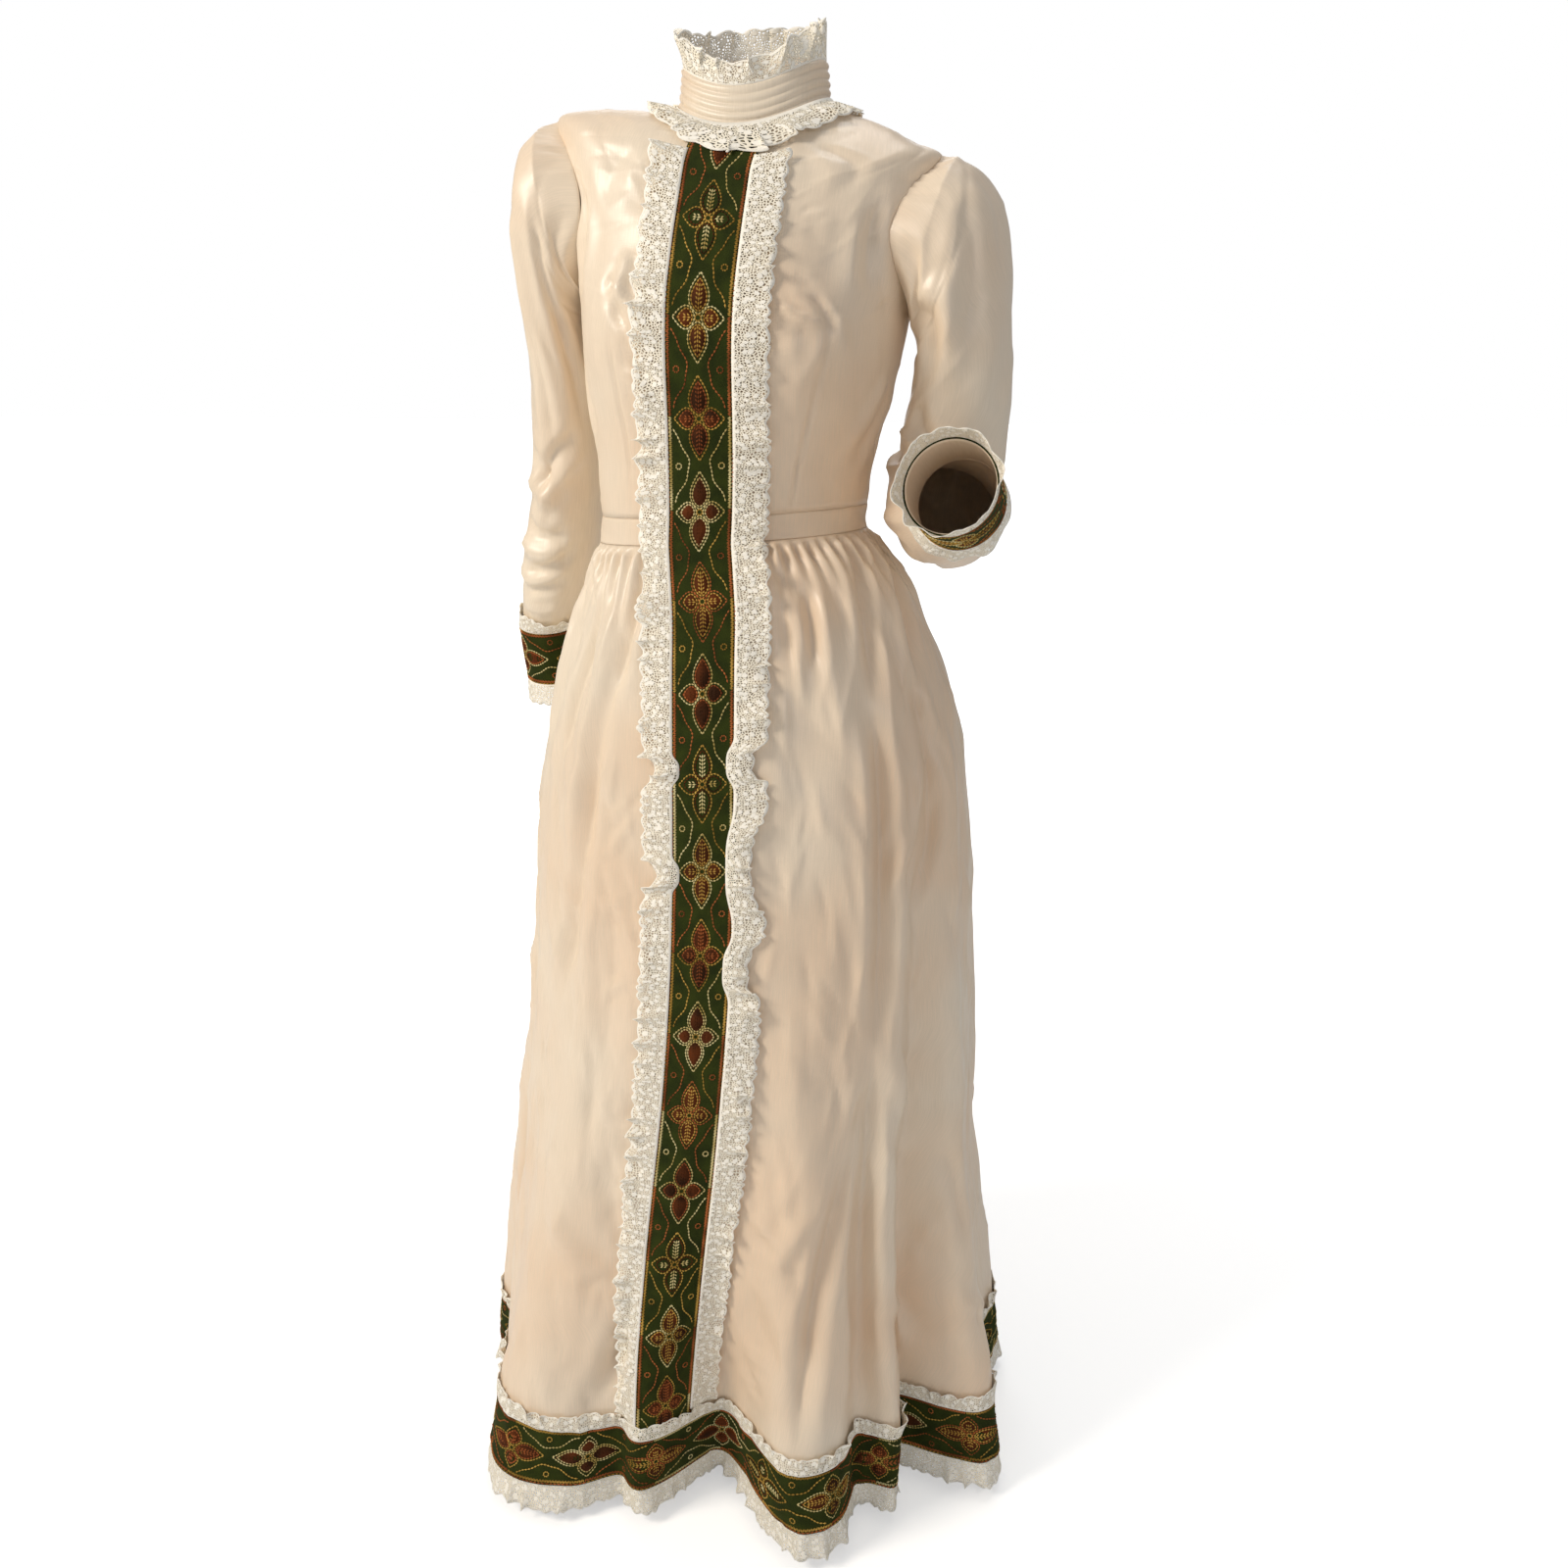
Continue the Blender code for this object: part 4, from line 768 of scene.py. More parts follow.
class BodyForm:
    """The cloth from the neck seam to the hem as one smooth form."""

    bust = (38.0, 21.0, -0.205, 0.060, 0.012)  # angle, spread, level, height, depth

    def __init__(self) -> None:
        """Gathers the reliefs of the bodice and the skirt."""
        self.bodice = Relief(
            BODICE_CREASES + puckers(3, 14, (-0.33, -0.24), (-26.0, -20.0), 10.0, 0.9)
            + puckers(4, 16, (-0.34, -0.05), (24.0, 30.0), 9.0, 0.7), (), BAND_TOP, 11, 1.7)
        self.skirt = Relief(
            SKIRT_CREASES + puckers(5, 26, (-1.28, -0.62), (-22.0, -11.0), -9.0, 1.3)
            + puckers(6, 16, (-1.30, -0.95), (12.0, 15.0), 7.0, 1.2),
            WAIST_GATHERS + back_gathers(7), WAIST, 12, 2.0, 0.0018, 0.0024, 0.9)

    def swell(self, level: Array, angle: Array) -> Array:
        """How far the cloth stands out from its plain section."""
        middle, spread, bust_level, height, depth = self.bust
        up = np.exp(-(((level - bust_level) / height) ** 2))
        chest = sum(
            depth * up * np.exp(-((turn_between(angle, side * middle) / spread) ** 2)) for side in (-1, 1))
        folds = np.zeros(level.shape)
        for hem_angle, top_angle, fold, half, starts in FOLDS:
            share = np.clip((starts - level) / (starts - HEM), 0, None)
            centre = top_angle + (hem_angle - top_angle) * (WAIST - level) / (WAIST - HEM)
            width = half * (0.7 + 0.3 * np.minimum(share, 1.0))
            away = turn_between(angle, centre)
            hill = np.where(np.abs(away) < width, np.cos(away / width * math.pi / 2) ** 2, 0.0)
            folds += fold * share**1.4 * hill
        return np.where(level > WAIST, chest, folds)

    def plain(self, level: Array, angle: Array) -> Array:
        """Points of the form without creases."""
        side_z, front_z, back_z, half_width, front, back, shift = read_table(SECTIONS, level)
        turn = np.radians(angle)
        sine, cosine = np.sin(turn), np.cos(turn)
        out = self.swell(level, angle)
        x = shift + (half_width + out) * sine
        y = -(np.where(cosine > 0, front, back) + out) * cosine
        dip = np.where(cosine > 0, front_z - side_z, back_z - side_z)
        z = side_z + dip * cosine**2 - 0.12 * read_table(TILT, level)[0] * (x - shift)
        return np.stack([x, y, z], axis=-1)

    def radius(self, level: Array) -> Array:
        """Mean radius of the form at each level."""
        _, _, _, half_width, front, back, _ = read_table(SECTIONS, level)
        return (2 * half_width + front + back) / 4

    def relief(self, level: Array, angle: Array) -> Array:
        """Height of creases and gathers, held down under the front ribbon."""
        radius = self.radius(level)
        x = np.radians(angle) * radius
        under = np.abs(turn_between(angle, read_table(FRONT_LINE, level)[0])) * np.pi / 180 * radius
        free = 0.10 + 0.90 * smooth((under - 0.030) / 0.018)
        found = np.zeros(level.shape)
        for part, held in ((self.bodice, level > WAIST), (self.skirt, level <= WAIST)):
            if not held.any():
                continue
            height = part.crease_height(level, angle, radius, 1.0) + part.drift(x, level)
            height += part.gather_height(level, angle, 1.0)
            edge = smooth(np.abs(level - WAIST) / 0.012) * smooth(np.abs(NECK - level) / 0.03)
            found = np.where(held, height * edge * free, found)
        return found

    def place(self, level: Array, angle: Array, lift: Array | float = 0.0) -> Placed:
        """Places points on the cloth.

        Args:
            level: Levels.
            angle: Angles, of the same shape or one that broadcasts.
            lift: Metres off the cloth's face.

        Returns:
            The points and their outward normals.
        """
        level, angle = np.broadcast_arrays(np.asarray(level, float), np.asarray(angle, float))
        step, turn = 0.002, 0.5
        normal = normals_of(
            self.plain(level, angle + turn) - self.plain(level, angle - turn),
            self.plain(np.minimum(level + step, NECK), angle) - self.plain(level - step, angle))
        height = self.relief(level, angle) + lift
        return self.plain(level, angle) + normal * height[..., None], normal

    def across_front(self, level: Array, distance: Array) -> Array:
        """Angles that lie a distance along the cloth from the centre-front line.

        Args:
            level: One level for each row.
            distance: Signed metres, one row for each level.

        Returns:
            Angles in the distance's shape.
        """
        start = read_table(FRONT_LINE, level)[0]
        fan = np.linspace(0, 60, 91)
        found = np.empty(distance.shape)
        for side in (1, -1):
            angles = start[:, None] + side * fan
            points = self.plain(np.broadcast_to(level[:, None], angles.shape), angles)
            run = run_along(points)
            for i, row in enumerate(distance):
                here = (row >= 0) if side == 1 else (row < 0)
                found[i, here] = np.interp(np.abs(row[here]), run[i], angles[i])
        return found

    def below_neck(self, angle: Array, distance: Array) -> Array:
        """Levels that lie a distance down the cloth from the neck seam, one row for each angle."""
        levels = np.linspace(NECK, -0.10, 81)
        points = self.plain(levels[None, :] + 0 * angle[:, None], angle[:, None] + 0 * levels[None, :])
        run = run_along(points)
        return np.array([np.interp(distance, row, levels) for row in run])

    def neck(self, rise: Array, out: Array, angle: Array) -> Placed:
        """Points and normals above the neck seam, at a rise up the neck and a distance out from it."""
        around = np.linspace(-180, 180, 361)
        centre = self.plain(np.full(361, NECK), around).mean(axis=0)
        base = self.plain(np.full(angle.shape, NECK), angle)
        away = base - centre
        away[..., 2] = 0.0
        away /= np.linalg.norm(away, axis=-1, keepdims=True)
        points = base + away * (out - NECK_LEAN * rise)[..., None]
        points[..., 2] += rise
        return points, away


@dataclass
class SleeveForm:
    """One sleeve from its armhole to the cuff, read by row and angle (0 on the outer side)."""

    side: Side
    table: Array
    creases: tuple[tuple[float, ...], ...]
    body: BodyForm
    seed: int
    unit: float = 0.045  # metres from one row to the next
    radius: float = 0.048
    puff: float = 0.0015  # how far the gathered cap stands up from the armhole seam
    relief: Relief = field(init=False)
    hole: Array = field(init=False)

    def __post_init__(self) -> None:
        """Measures the armhole and gathers the relief."""
        rng = np.random.default_rng(self.seed)
        cap, angle = [], -66.0
        while angle < 68.0:
            cap.append((angle, rng.uniform(2.3, 3.7), rng.uniform(0.026, 0.062), rng.uniform(2.3, 3.2)))
            angle += rng.uniform(7.0, 10.5)
        self.relief = Relief(self.creases, tuple(cap), 0.0, self.seed, 1.6, 0.0012, 0.0011)
        loops = []
        for table, sign in ((FRONT_PANEL, 1), (BACK_PANEL, -1)):
            row = np.linspace(ARMHOLE_LAST, ARMHOLE_FIRST, 61)
            _, edge, angle = read_table(table, row)
            angle = np.minimum(angle, 90.0) if sign == 1 else np.maximum(angle, 90.0)
            points = self.body.plain(edge, self.side.value * angle)
            run = run_along(points)
            share = run / run[-1]
            loops.append((share * 180 if sign == 1 else 360 - share * 180, points))
        (front_at, front), (back_at, back) = loops
        at = np.concatenate([front_at, back_at[::-1][1:]])
        points = np.concatenate([front, back[::-1][1:]])
        self.hole = np.column_stack([at, points])

    @property
    def last(self) -> float:
        """The last row."""
        return float(self.table[-1, 0])

    def ring(self, row: Array, angle: Array) -> Array:
        """Points of the sleeve without creases."""
        outer_x, outer_z, inner_x, inner_z, middle_y, front_y, front_z = read_table(
            self.table, np.maximum(row, 1.0))
        turn = np.radians(angle)
        x = (outer_x + inner_x) / 2 + (outer_x - inner_x) / 2 * np.cos(turn)
        y = middle_y + front_y * np.sin(turn)
        z = (outer_z + inner_z) / 2 + (outer_z - inner_z) / 2 * np.cos(turn) + front_z * np.sin(turn)
        made = np.stack([x, y, z], axis=-1)
        around = np.asarray(angle) % 360
        hole = np.stack([np.interp(around, self.hole[:, 0], self.hole[:, i]) for i in (1, 2, 3)], axis=-1)
        hole[..., 0] -= self.side.value * 0.0018
        share = smooth(np.clip(row, 0, 1))[..., None]
        return hole + (made - hole) * share

    def place(self, row: Array, angle: Array, lift: Array | float = 0.0, creased: float = 1.0) -> Placed:
        """Places points on the sleeve, as BodyForm.place does; creased is the share of the relief kept."""
        row, angle = np.broadcast_arrays(np.asarray(row, float), np.asarray(angle, float))
        low, high = np.maximum(row - 0.15, 0), np.minimum(row + 0.15, self.last)
        normal = normals_of(
            self.ring(row, angle + 3) - self.ring(row, angle - 3),
            self.ring(high, angle) - self.ring(low, angle)) * self.side.value
        radius = np.full(row.shape, self.radius)
        height = self.relief.crease_height(row, angle, radius, self.unit)
        height += self.relief.gather_height(row, angle, self.unit) * smooth(row / 0.45)
        turn = np.radians(angle)
        height += self.relief.drift(np.sin(turn) * self.radius, row * self.unit + np.cos(turn) * 0.04)
        height += self.puff * np.exp(-(((row - 1.0) / 0.75) ** 2)) * np.cos(turn / 2) ** 4
        edge = smooth(row / 0.16) * smooth((self.last - row) / 0.5)
        height = height * edge * creased + lift
        return self.ring(row, angle) + normal * height[..., None], normal

    def back_from_end(self, angle: Array, distance: Array) -> Array:
        """Rows that lie a distance up the sleeve from its end, one column for each angle."""
        rows = np.linspace(self.last, self.last - 4, 61)
        points = self.ring(rows[:, None] + 0 * angle[None, :], angle[None, :] + 0 * rows[:, None])
        run = run_along(points.swapaxes(0, 1))
        return np.stack([np.interp(distance[:, i], run[i], rows) for i in range(len(angle))], axis=1)

    def cuff(self, along: Array, out: Array | float, angle: Array) -> Placed:
        """Points and normals past the sleeve's end, a distance along the arm and out from it."""
        along, angle = np.broadcast_arrays(np.asarray(along, float), np.asarray(angle, float))
        quarters = self.ring(np.full(4, self.last), np.array([0.0, 90.0, 180.0, 270.0]))
        centre = quarters.mean(axis=0)
        axis = np.cross(quarters[0] - centre, quarters[1] - centre) * self.side.value
        axis /= np.linalg.norm(axis)
        ring = self.ring(np.full(angle.shape, self.last), angle)
        away = ring - centre
        away /= np.linalg.norm(away, axis=-1, keepdims=True)
        out = np.broadcast_to(np.asarray(out, float), angle.shape)
        return ring + axis * along[..., None] + away * out[..., None], away


@dataclass
class Grid:
    """A piece's points in rows and columns, with outward normals and a flat chart in metres."""

    points: Array
    normals: Array
    chart: Array
    closed: bool = False

    def mesh(self, name: str, material: bpy.types.Material, wall: float = WALL,
             across: Array | None = None) -> bpy.types.Object:
        """Makes the piece as a shell with smooth faces.

        Args:
            name: The object's name.
            material: Its finish.
            wall: Thickness, grown inwards.
            across: A second map's shares of the width, where a pattern needs them.

        Returns:
            The object.
        """
        rows, columns = self.points.shape[:2]
        spans = columns if self.closed else columns - 1
        r, c = np.meshgrid(np.arange(rows - 1), np.arange(spans), indexing="ij")
        r, c = r.ravel(), c.ravel()
        after, here, below = (c + 1) % columns, r * columns, (r + 1) * columns
        corners = np.stack([here + c, here + after, below + after, below + c], 1)
        places = np.stack([np.stack([r, c], 1), np.stack([r, c + 1], 1),
                           np.stack([r + 1, c + 1], 1), np.stack([r + 1, c], 1)], 1)
        flat = self.points.reshape(-1, 3)
        a, b, d = flat[corners[:, 0]], flat[corners[:, 1]], flat[corners[:, 3]]
        facing = np.einsum("ij,ij->i", np.cross(b - a, d - a), self.normals.reshape(-1, 3)[corners[:, 0]])
        if facing.sum() < 0:
            corners, places = corners[:, ::-1], places[:, ::-1]
        mesh = bpy.data.meshes.new(name)
        mesh.from_pydata(flat.tolist(), [], corners.tolist())
        for map_name, values in (("chart", self.chart), ("across", across)):
            if values is None:
                continue
            layer = mesh.uv_layers.new(name=map_name)
            layer.data.foreach_set("uv", values[places[..., 0], places[..., 1]].reshape(-1))
        made = new_object(name.replace("_", "-"), mesh, material)
        add_wall(made, wall)
        return made

    def at(self, along: Array, across: Array, lift: float = 0.0) -> Placed:
        """Points and normals between the grid's own, where the chart runs evenly.

        Args:
            along: Metres along the columns' chart.
            across: Metres along the rows' chart.
            lift: Metres off the face.

        Returns:
            The points and their normals.
        """
        rows, columns = self.points.shape[:2]
        width, height = self.chart[-1, -1] - self.chart[0, 0]
        c = np.clip((along - self.chart[0, 0, 0]) / width * (columns - 1), 0, columns - 1.001)
        r = np.clip((across - self.chart[0, 0, 1]) / height * (rows - 1), 0, rows - 1.001)
        ci, ri = c.astype(int), r.astype(int)
        cf, rf = (c - ci)[:, None], (r - ri)[:, None]
        found = []
        for field_ in (self.points, self.normals):
            found.append(
                (field_[ri, ci] * (1 - cf) + field_[ri, ci + 1] * cf) * (1 - rf)
                + (field_[ri + 1, ci] * (1 - cf) + field_[ri + 1, ci + 1] * cf) * rf)
        return found[0] + found[1] * lift, found[1]


def chart_of(points: Array, closed: bool = False) -> Array:
    """A flat chart of a grid: mean metres along its rows, and along its columns."""
    looped = np.concatenate([points, points[:, :1]], axis=1) if closed else points
    u = run_along(looped)
    u = u - u[:, u.shape[1] // 2][:, None]
    return np.stack([u, run_along(looped.swapaxes(0, 1)).T], axis=2)


def even_chart(rows: int, columns: int, width: float, height: float) -> Array:
    """A chart with even steps from nought to the width and the height."""
    u, v = np.meshgrid(np.linspace(0, width, columns), np.linspace(0, height, rows))
    return np.stack([u, v], axis=2)


@dataclass(frozen=True)
class Cut:
    """The size to which a piece was cut, and how it is held."""

    width: float
    length: float
    held: str = "hung"
    area: float | None = None


def hand_over(piece: bpy.types.Object, nodes: tuple[str, ...]) -> bpy.types.Object:
    """Gives a finished piece to the frame.

    Args:
        piece: The piece, already in place.
        nodes: The solids it stands for.

    Returns:
        The piece.
    """
    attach(piece, "root")
    if nodes:
        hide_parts(*nodes)
    LOG.info("%s: %d faces", piece.name, len(piece.data.polygons))
    return piece


def sew_panel(name: str, placed: Placed, finishes: Finishes,
              closed: bool = False) -> None:
    """Makes one piece of taffeta from its placed points and hands it over.

    Args:
        name: Name of its solid.
        placed: Points and normals.
        finishes: The materials.
        closed: True for a tube.
    """
    piece = Grid(*placed, chart_of(placed[0], closed), closed).mesh(name, finishes.taffeta)
    hand_over(piece, (name,))


@dataclass
class Bodice:
    """The fitted top with its darts, and the inset waistband under it."""

    body: BodyForm
    finishes: Finishes
    rows: int = 118
    columns: int = 150
    flat_front: float = 0.064  # metres each side of the centre front where the rows stay level

    def front(self) -> None:
        """Builds the front, cut in one from side seam to side seam."""
        centre, edge, angle = read_table(FRONT_PANEL, np.linspace(0, PANEL_LAST, self.rows))
        angle = np.minimum(angle, 90.0)
        span = np.linspace(-1, 1, self.columns)[None, :] * angle[:, None]
        trim = np.abs(self.body.across_front(centre, np.full((self.rows, 1), self.flat_front)))
        away = np.clip((np.abs(span) - trim) / np.maximum(angle[:, None] - trim, 1.0), 0, 1)
        level = centre[:, None] + (edge - centre)[:, None] * away**1.5
        level = np.maximum(level, BAND_TOP)
        self.make("bodice_front", level, span)

    def back(self, side: Side) -> None:
        """Builds one half of the back, from the side seam to the centre back."""
        centre, edge, angle = read_table(BACK_PANEL, np.linspace(0, PANEL_LAST, self.rows))
        angle = np.maximum(angle, 90.0)
        across = np.linspace(0, 1, self.columns // 2)[None, :]
        span = side.value * (angle[:, None] + (180 - angle[:, None]) * across)
        level = edge[:, None] + (centre - edge)[:, None] * (1 - (1 - across) ** 2)
        self.make(f"bodice_back_{side.word}", level, span)

    def make(self, name: str, level: Array, angle: Array) -> None:
        """Makes one panel with its edges rolled in at the seams."""
        roll = np.zeros(level.shape)
        roll[:, (0, -1)] = -0.0009
        roll[0] = -0.0006
        placed = self.body.place(level, angle, roll)
        sew_panel(name, placed, self.finishes)

    def waistband(self) -> None:
        """Builds the inset band, a front and two backs."""
        level = np.linspace(WAIST, BAND_TOP, 14)[:, None]
        for tail, first, last in PANELS:
            columns, width = (150, 0.40) if tail == "front" else (76, 0.175)
            angle = np.linspace(first, last, columns)[None, :]
            roll = np.zeros((14, columns))
            roll[(0, -1), :] = -0.0008
            roll[:, (0, -1)] = -0.0008
            placed = self.body.place(level + 0 * angle, angle + 0 * level, roll)
            sew_panel(f"waistband_{tail}", placed, self.finishes)

    def build(self) -> None:
        """Builds every panel."""
        self.front()
        self.back(Side.LEFT)
        self.back(Side.RIGHT)
        self.waistband()


@dataclass
class Skirt:
    """The gathered skirt: a front panel and two back panels."""

    body: BodyForm
    finishes: Finishes
    rows: int = 150
    columns: int = 224

    def build(self) -> None:
        """Builds the three panels, closer in rows where the gathers are."""
        share = np.linspace(0, 1, self.rows)
        level = (WAIST - (WAIST - HEM) * (0.45 * share + 0.55 * share**1.7))[:, None]
        for tail, first, last in PANELS:
            columns, width, area = self.columns // 2, 0.60, 0.45
            if tail == "front":
                columns, width, area = self.columns, 1.08, 0.90
            angle = np.linspace(first, last, columns)[None, :]
            roll = np.zeros((self.rows, columns))
            roll[:, (0, -1)] = -0.0009
            placed = self.body.place(level + 0 * angle, angle + 0 * level, roll)
            sew_panel(f"skirt_{tail}", placed, self.finishes)


@dataclass(frozen=True)
class Ruffle:
    """A gathered strip of lace: how wide it is, how it waves, and its scalloped edge."""

    width: float
    wave: float  # mean length of a wave
    height: float  # how far a wave's crest stands off
    seed: float
    fullness: float = 1.5
    scallop: float = 0.0170

    def phase(self, along: Array) -> Array:
        """The waves' phase, uneven along the strip."""
        turn = 2 * math.pi * along / self.wave
        return (turn + 1.3 * np.sin(2 * math.pi * along / (3.7 * self.wave) + self.seed)
                + 0.8 * np.sin(2 * math.pi * along / (2.3 * self.wave) + 2 * self.seed))

    def crest(self, along: Array) -> Array:
        """Height of the waves from 0 to 1, uneven from wave to wave."""
        lively = 0.62 + 0.38 * np.sin(2 * math.pi * along / (5.1 * self.wave) + 3 * self.seed)
        return (0.5 + 0.5 * np.sin(self.phase(along))) * lively

    def reach(self, along: Array) -> Array:
        """Width at each place, with the scallops at the edge."""
        lobe = np.abs(np.sin(math.pi * along * self.fullness / self.scallop))
        return self.width * (0.89 + 0.11 * lobe - 0.06 * self.crest(along + 0.3 * self.wave))

    def charts(self, along: Array, share: Array) -> tuple[Array, Array]:
        """The lace's own map in metres, and its shares of the width."""
        u, v = np.meshgrid(along * self.fullness, share * self.width)
        return np.stack([u, v], axis=2), np.stack([u, np.broadcast_to(share[:, None], u.shape)], axis=2)


def sew_lace(name: str, placed: Placed, along: Array, share: Array, ruffle: Ruffle,
             finishes: Finishes, closed: bool = False) -> None:
    """Makes a lace strip from its placed points and hands it over.

    Args:
        name: Name of its solid.
        placed: Points and normals, with rows across the strip and columns along it.
        along: Metres along the strip, one more than the columns where it is closed.
        share: Shares of the width, one for each row.
        ruffle: The strip's sizes.
        finishes: The materials.
        closed: True where the strip runs right round.
    """
    chart, across = ruffle.charts(along, share)
    piece = Grid(*placed, chart, closed).mesh(name, finishes.lace, 0.0005, across)
    hand_over(piece, (name,))


def stitched_line(path: Array, pitch: float, closed: bool = False) -> Array:
    """Stitches along a line of points.

    Args:
        path: Points along and across the ribbon, in metres.
        pitch: Length of a stitch.
        closed: True where the line runs back to its start.

    Returns:
        One row for each stitch: middle along, middle across, step along, step across.
    """
    if closed:
        path = np.concatenate([path, path[:1]])
    run = run_along(path)
    count = max(2, round(run[-1] / pitch))
    ends = np.linspace(0, run[-1], count + 1)
    knots = np.stack([np.interp(ends, run, path[:, i]) for i in (0, 1)], axis=1)
    return np.concatenate([(knots[1:] + knots[:-1]) / 2, np.diff(knots, axis=0)], axis=1)


@dataclass
class FlowerPattern:
    """A common four-petal flower ornament: double outlines, leaf stitches, waving lines and rings."""

    repeat: float = 0.0858  # from flower to flower
    stitch: float = 0.0034
    ring_radius: float = 0.0029
    petals: tuple[tuple[float, float, float], ...] = (
        (0.0, 0.038, 0.0094), (90.0, 0.0240, 0.0098), (180.0, 0.038, 0.0094), (270.0, 0.0240, 0.0098))
    # threads of the outer outline, the inner outline and the leaf stitches, flower by flower
    flowers: tuple[tuple[Thread, Thread, Thread], ...] = (
        (Thread.CREAM, Thread.RUST, Thread.BROWN), (Thread.GOLD, Thread.BROWN, Thread.CREAM),
        (Thread.CREAM, Thread.GOLD, Thread.GOLD), (Thread.GOLD, Thread.RUST, Thread.RUST),
        (Thread.CREAM, Thread.CREAM, Thread.BROWN), (Thread.RUST, Thread.GOLD, Thread.GOLD))

    def petal(self, turn: float, length: float, half: float, inset: float) -> Array:
        """The outline of one petal, from the flower's middle to its point and back."""
        share = np.linspace(0, 1, 25)
        start = 0.0030 + inset
        reach = start + (length - start - 2.2 * inset) * share
        side = (half - inset) * 3.58 * share**0.75 * (1 - share) ** 1.15
        line = np.concatenate([np.stack([reach, side], 1), np.stack([reach, -side], 1)[::-1]])
        spin = math.radians(turn)
        return line @ np.array([[math.cos(spin), math.sin(spin)], [-math.sin(spin), math.cos(spin)]])

    def ring(self) -> Array:
        """The outline of a small ring about its own middle."""
        turn = np.radians(np.arange(0, 360, 24))
        return self.ring_radius * np.stack([np.cos(turn), np.sin(turn)], 1)

    def flower(self, index: int) -> list[tuple[Thread, Array]]:
        """The stitches of one flower about its own middle."""
        outer, inner, leaf = self.flowers[index % len(self.flowers)]
        made = []
        for turn, length, half in self.petals:
            for thread, inset in ((outer, 0.0), (inner, 0.0021)):
                made.append((thread, stitched_line(self.petal(turn, length, half, inset), self.stitch)))
            spin = np.array([math.cos(math.radians(turn)), math.sin(math.radians(turn))])
            vein = np.array([spin * 0.006, spin * (length - 0.0095)])
            made.append((leaf, stitched_line(vein, 0.0036)))
            side = np.array([-spin[1], spin[0]])
            spots = np.arange(0.009, length - 0.010, 0.0036)
            for way in (-1, 1):
                middles = spots[:, None] * spin + way * 0.0021 * side
                steps = np.broadcast_to(spin * 0.0026 + way * 0.0020 * side, middles.shape)
                made.append((leaf, np.concatenate([middles, steps], axis=1)))
        made.append((Thread.GOLD, stitched_line(self.ring(), 0.0024, True)))
        return made

    def between(self, index: int, half: float) -> list[tuple[Thread, Array]]:
        """The waving lines, rings and borders that follow one flower."""
        light = (Thread.CREAM, Thread.GOLD, Thread.RUST)[index % 3]
        warm = (Thread.RUST, Thread.GOLD, Thread.RUST, Thread.CREAM)[index % 4]
        made = []
        along = np.linspace(0.0090, self.repeat - 0.0090, 60)
        swing = 0.0185 + 0.0085 * np.cos(2 * math.pi * along / self.repeat) + 0.0009 * np.sin(along * 300)
        for side in (-1, 1):
            line = np.stack([along, side * swing], 1)
            made.append((light if side == 1 else warm, stitched_line(line, 0.0038)))
            spot = np.array([self.repeat / 2, side * 0.0205])
            made.append((warm, stitched_line(spot + self.ring(), 0.0023, True)))
            loops = np.arange(0.0, self.repeat - 0.001, self.stitch)
            for lean in (-1, 1):
                middles = np.stack([loops + lean * 0.0009, np.full(len(loops), side * (half - 0.0046))], 1)
                steps = np.broadcast_to(np.array([lean * 0.0009, side * 0.0036]), middles.shape)
                made.append((warm, np.concatenate([middles, steps], axis=1)))
            edge = np.array([[0.0, side * (half - 0.0020)], [self.repeat, side * (half - 0.0020)]])
            made.append((Thread.RUST if index % 2 else Thread.GOLD, stitched_line(edge, 0.0042)))
        return made

    def lay(self, length: float, half: float, start: float) -> dict[Thread, Array]:
        """Stitches for a whole ribbon.

        Args:
            length: The ribbon's length.
            half: Half its width.
            start: Where the first flower's middle lies.

        Returns:
            Stitches for each thread: middle along, middle across, step along, step across.
        """
        kept: dict[Thread, list[Array]] = {thread: [] for thread in Thread}
        first = -math.ceil(start / self.repeat)
        for index in range(first, math.ceil((length - start) / self.repeat) + 1):
            for thread, rows in self.flower(index) + self.between(index, half):
                kept[thread].append(rows + np.array([start + index * self.repeat, 0.0, 0.0, 0.0]))
        found = {}
        for thread, parts in kept.items():
            rows = np.concatenate(parts)
            inside = (rows[:, 0] > 0.002) & (rows[:, 0] < length - 0.002)
            found[thread] = rows[inside & (np.abs(rows[:, 1]) < half - 0.001)]
        return found


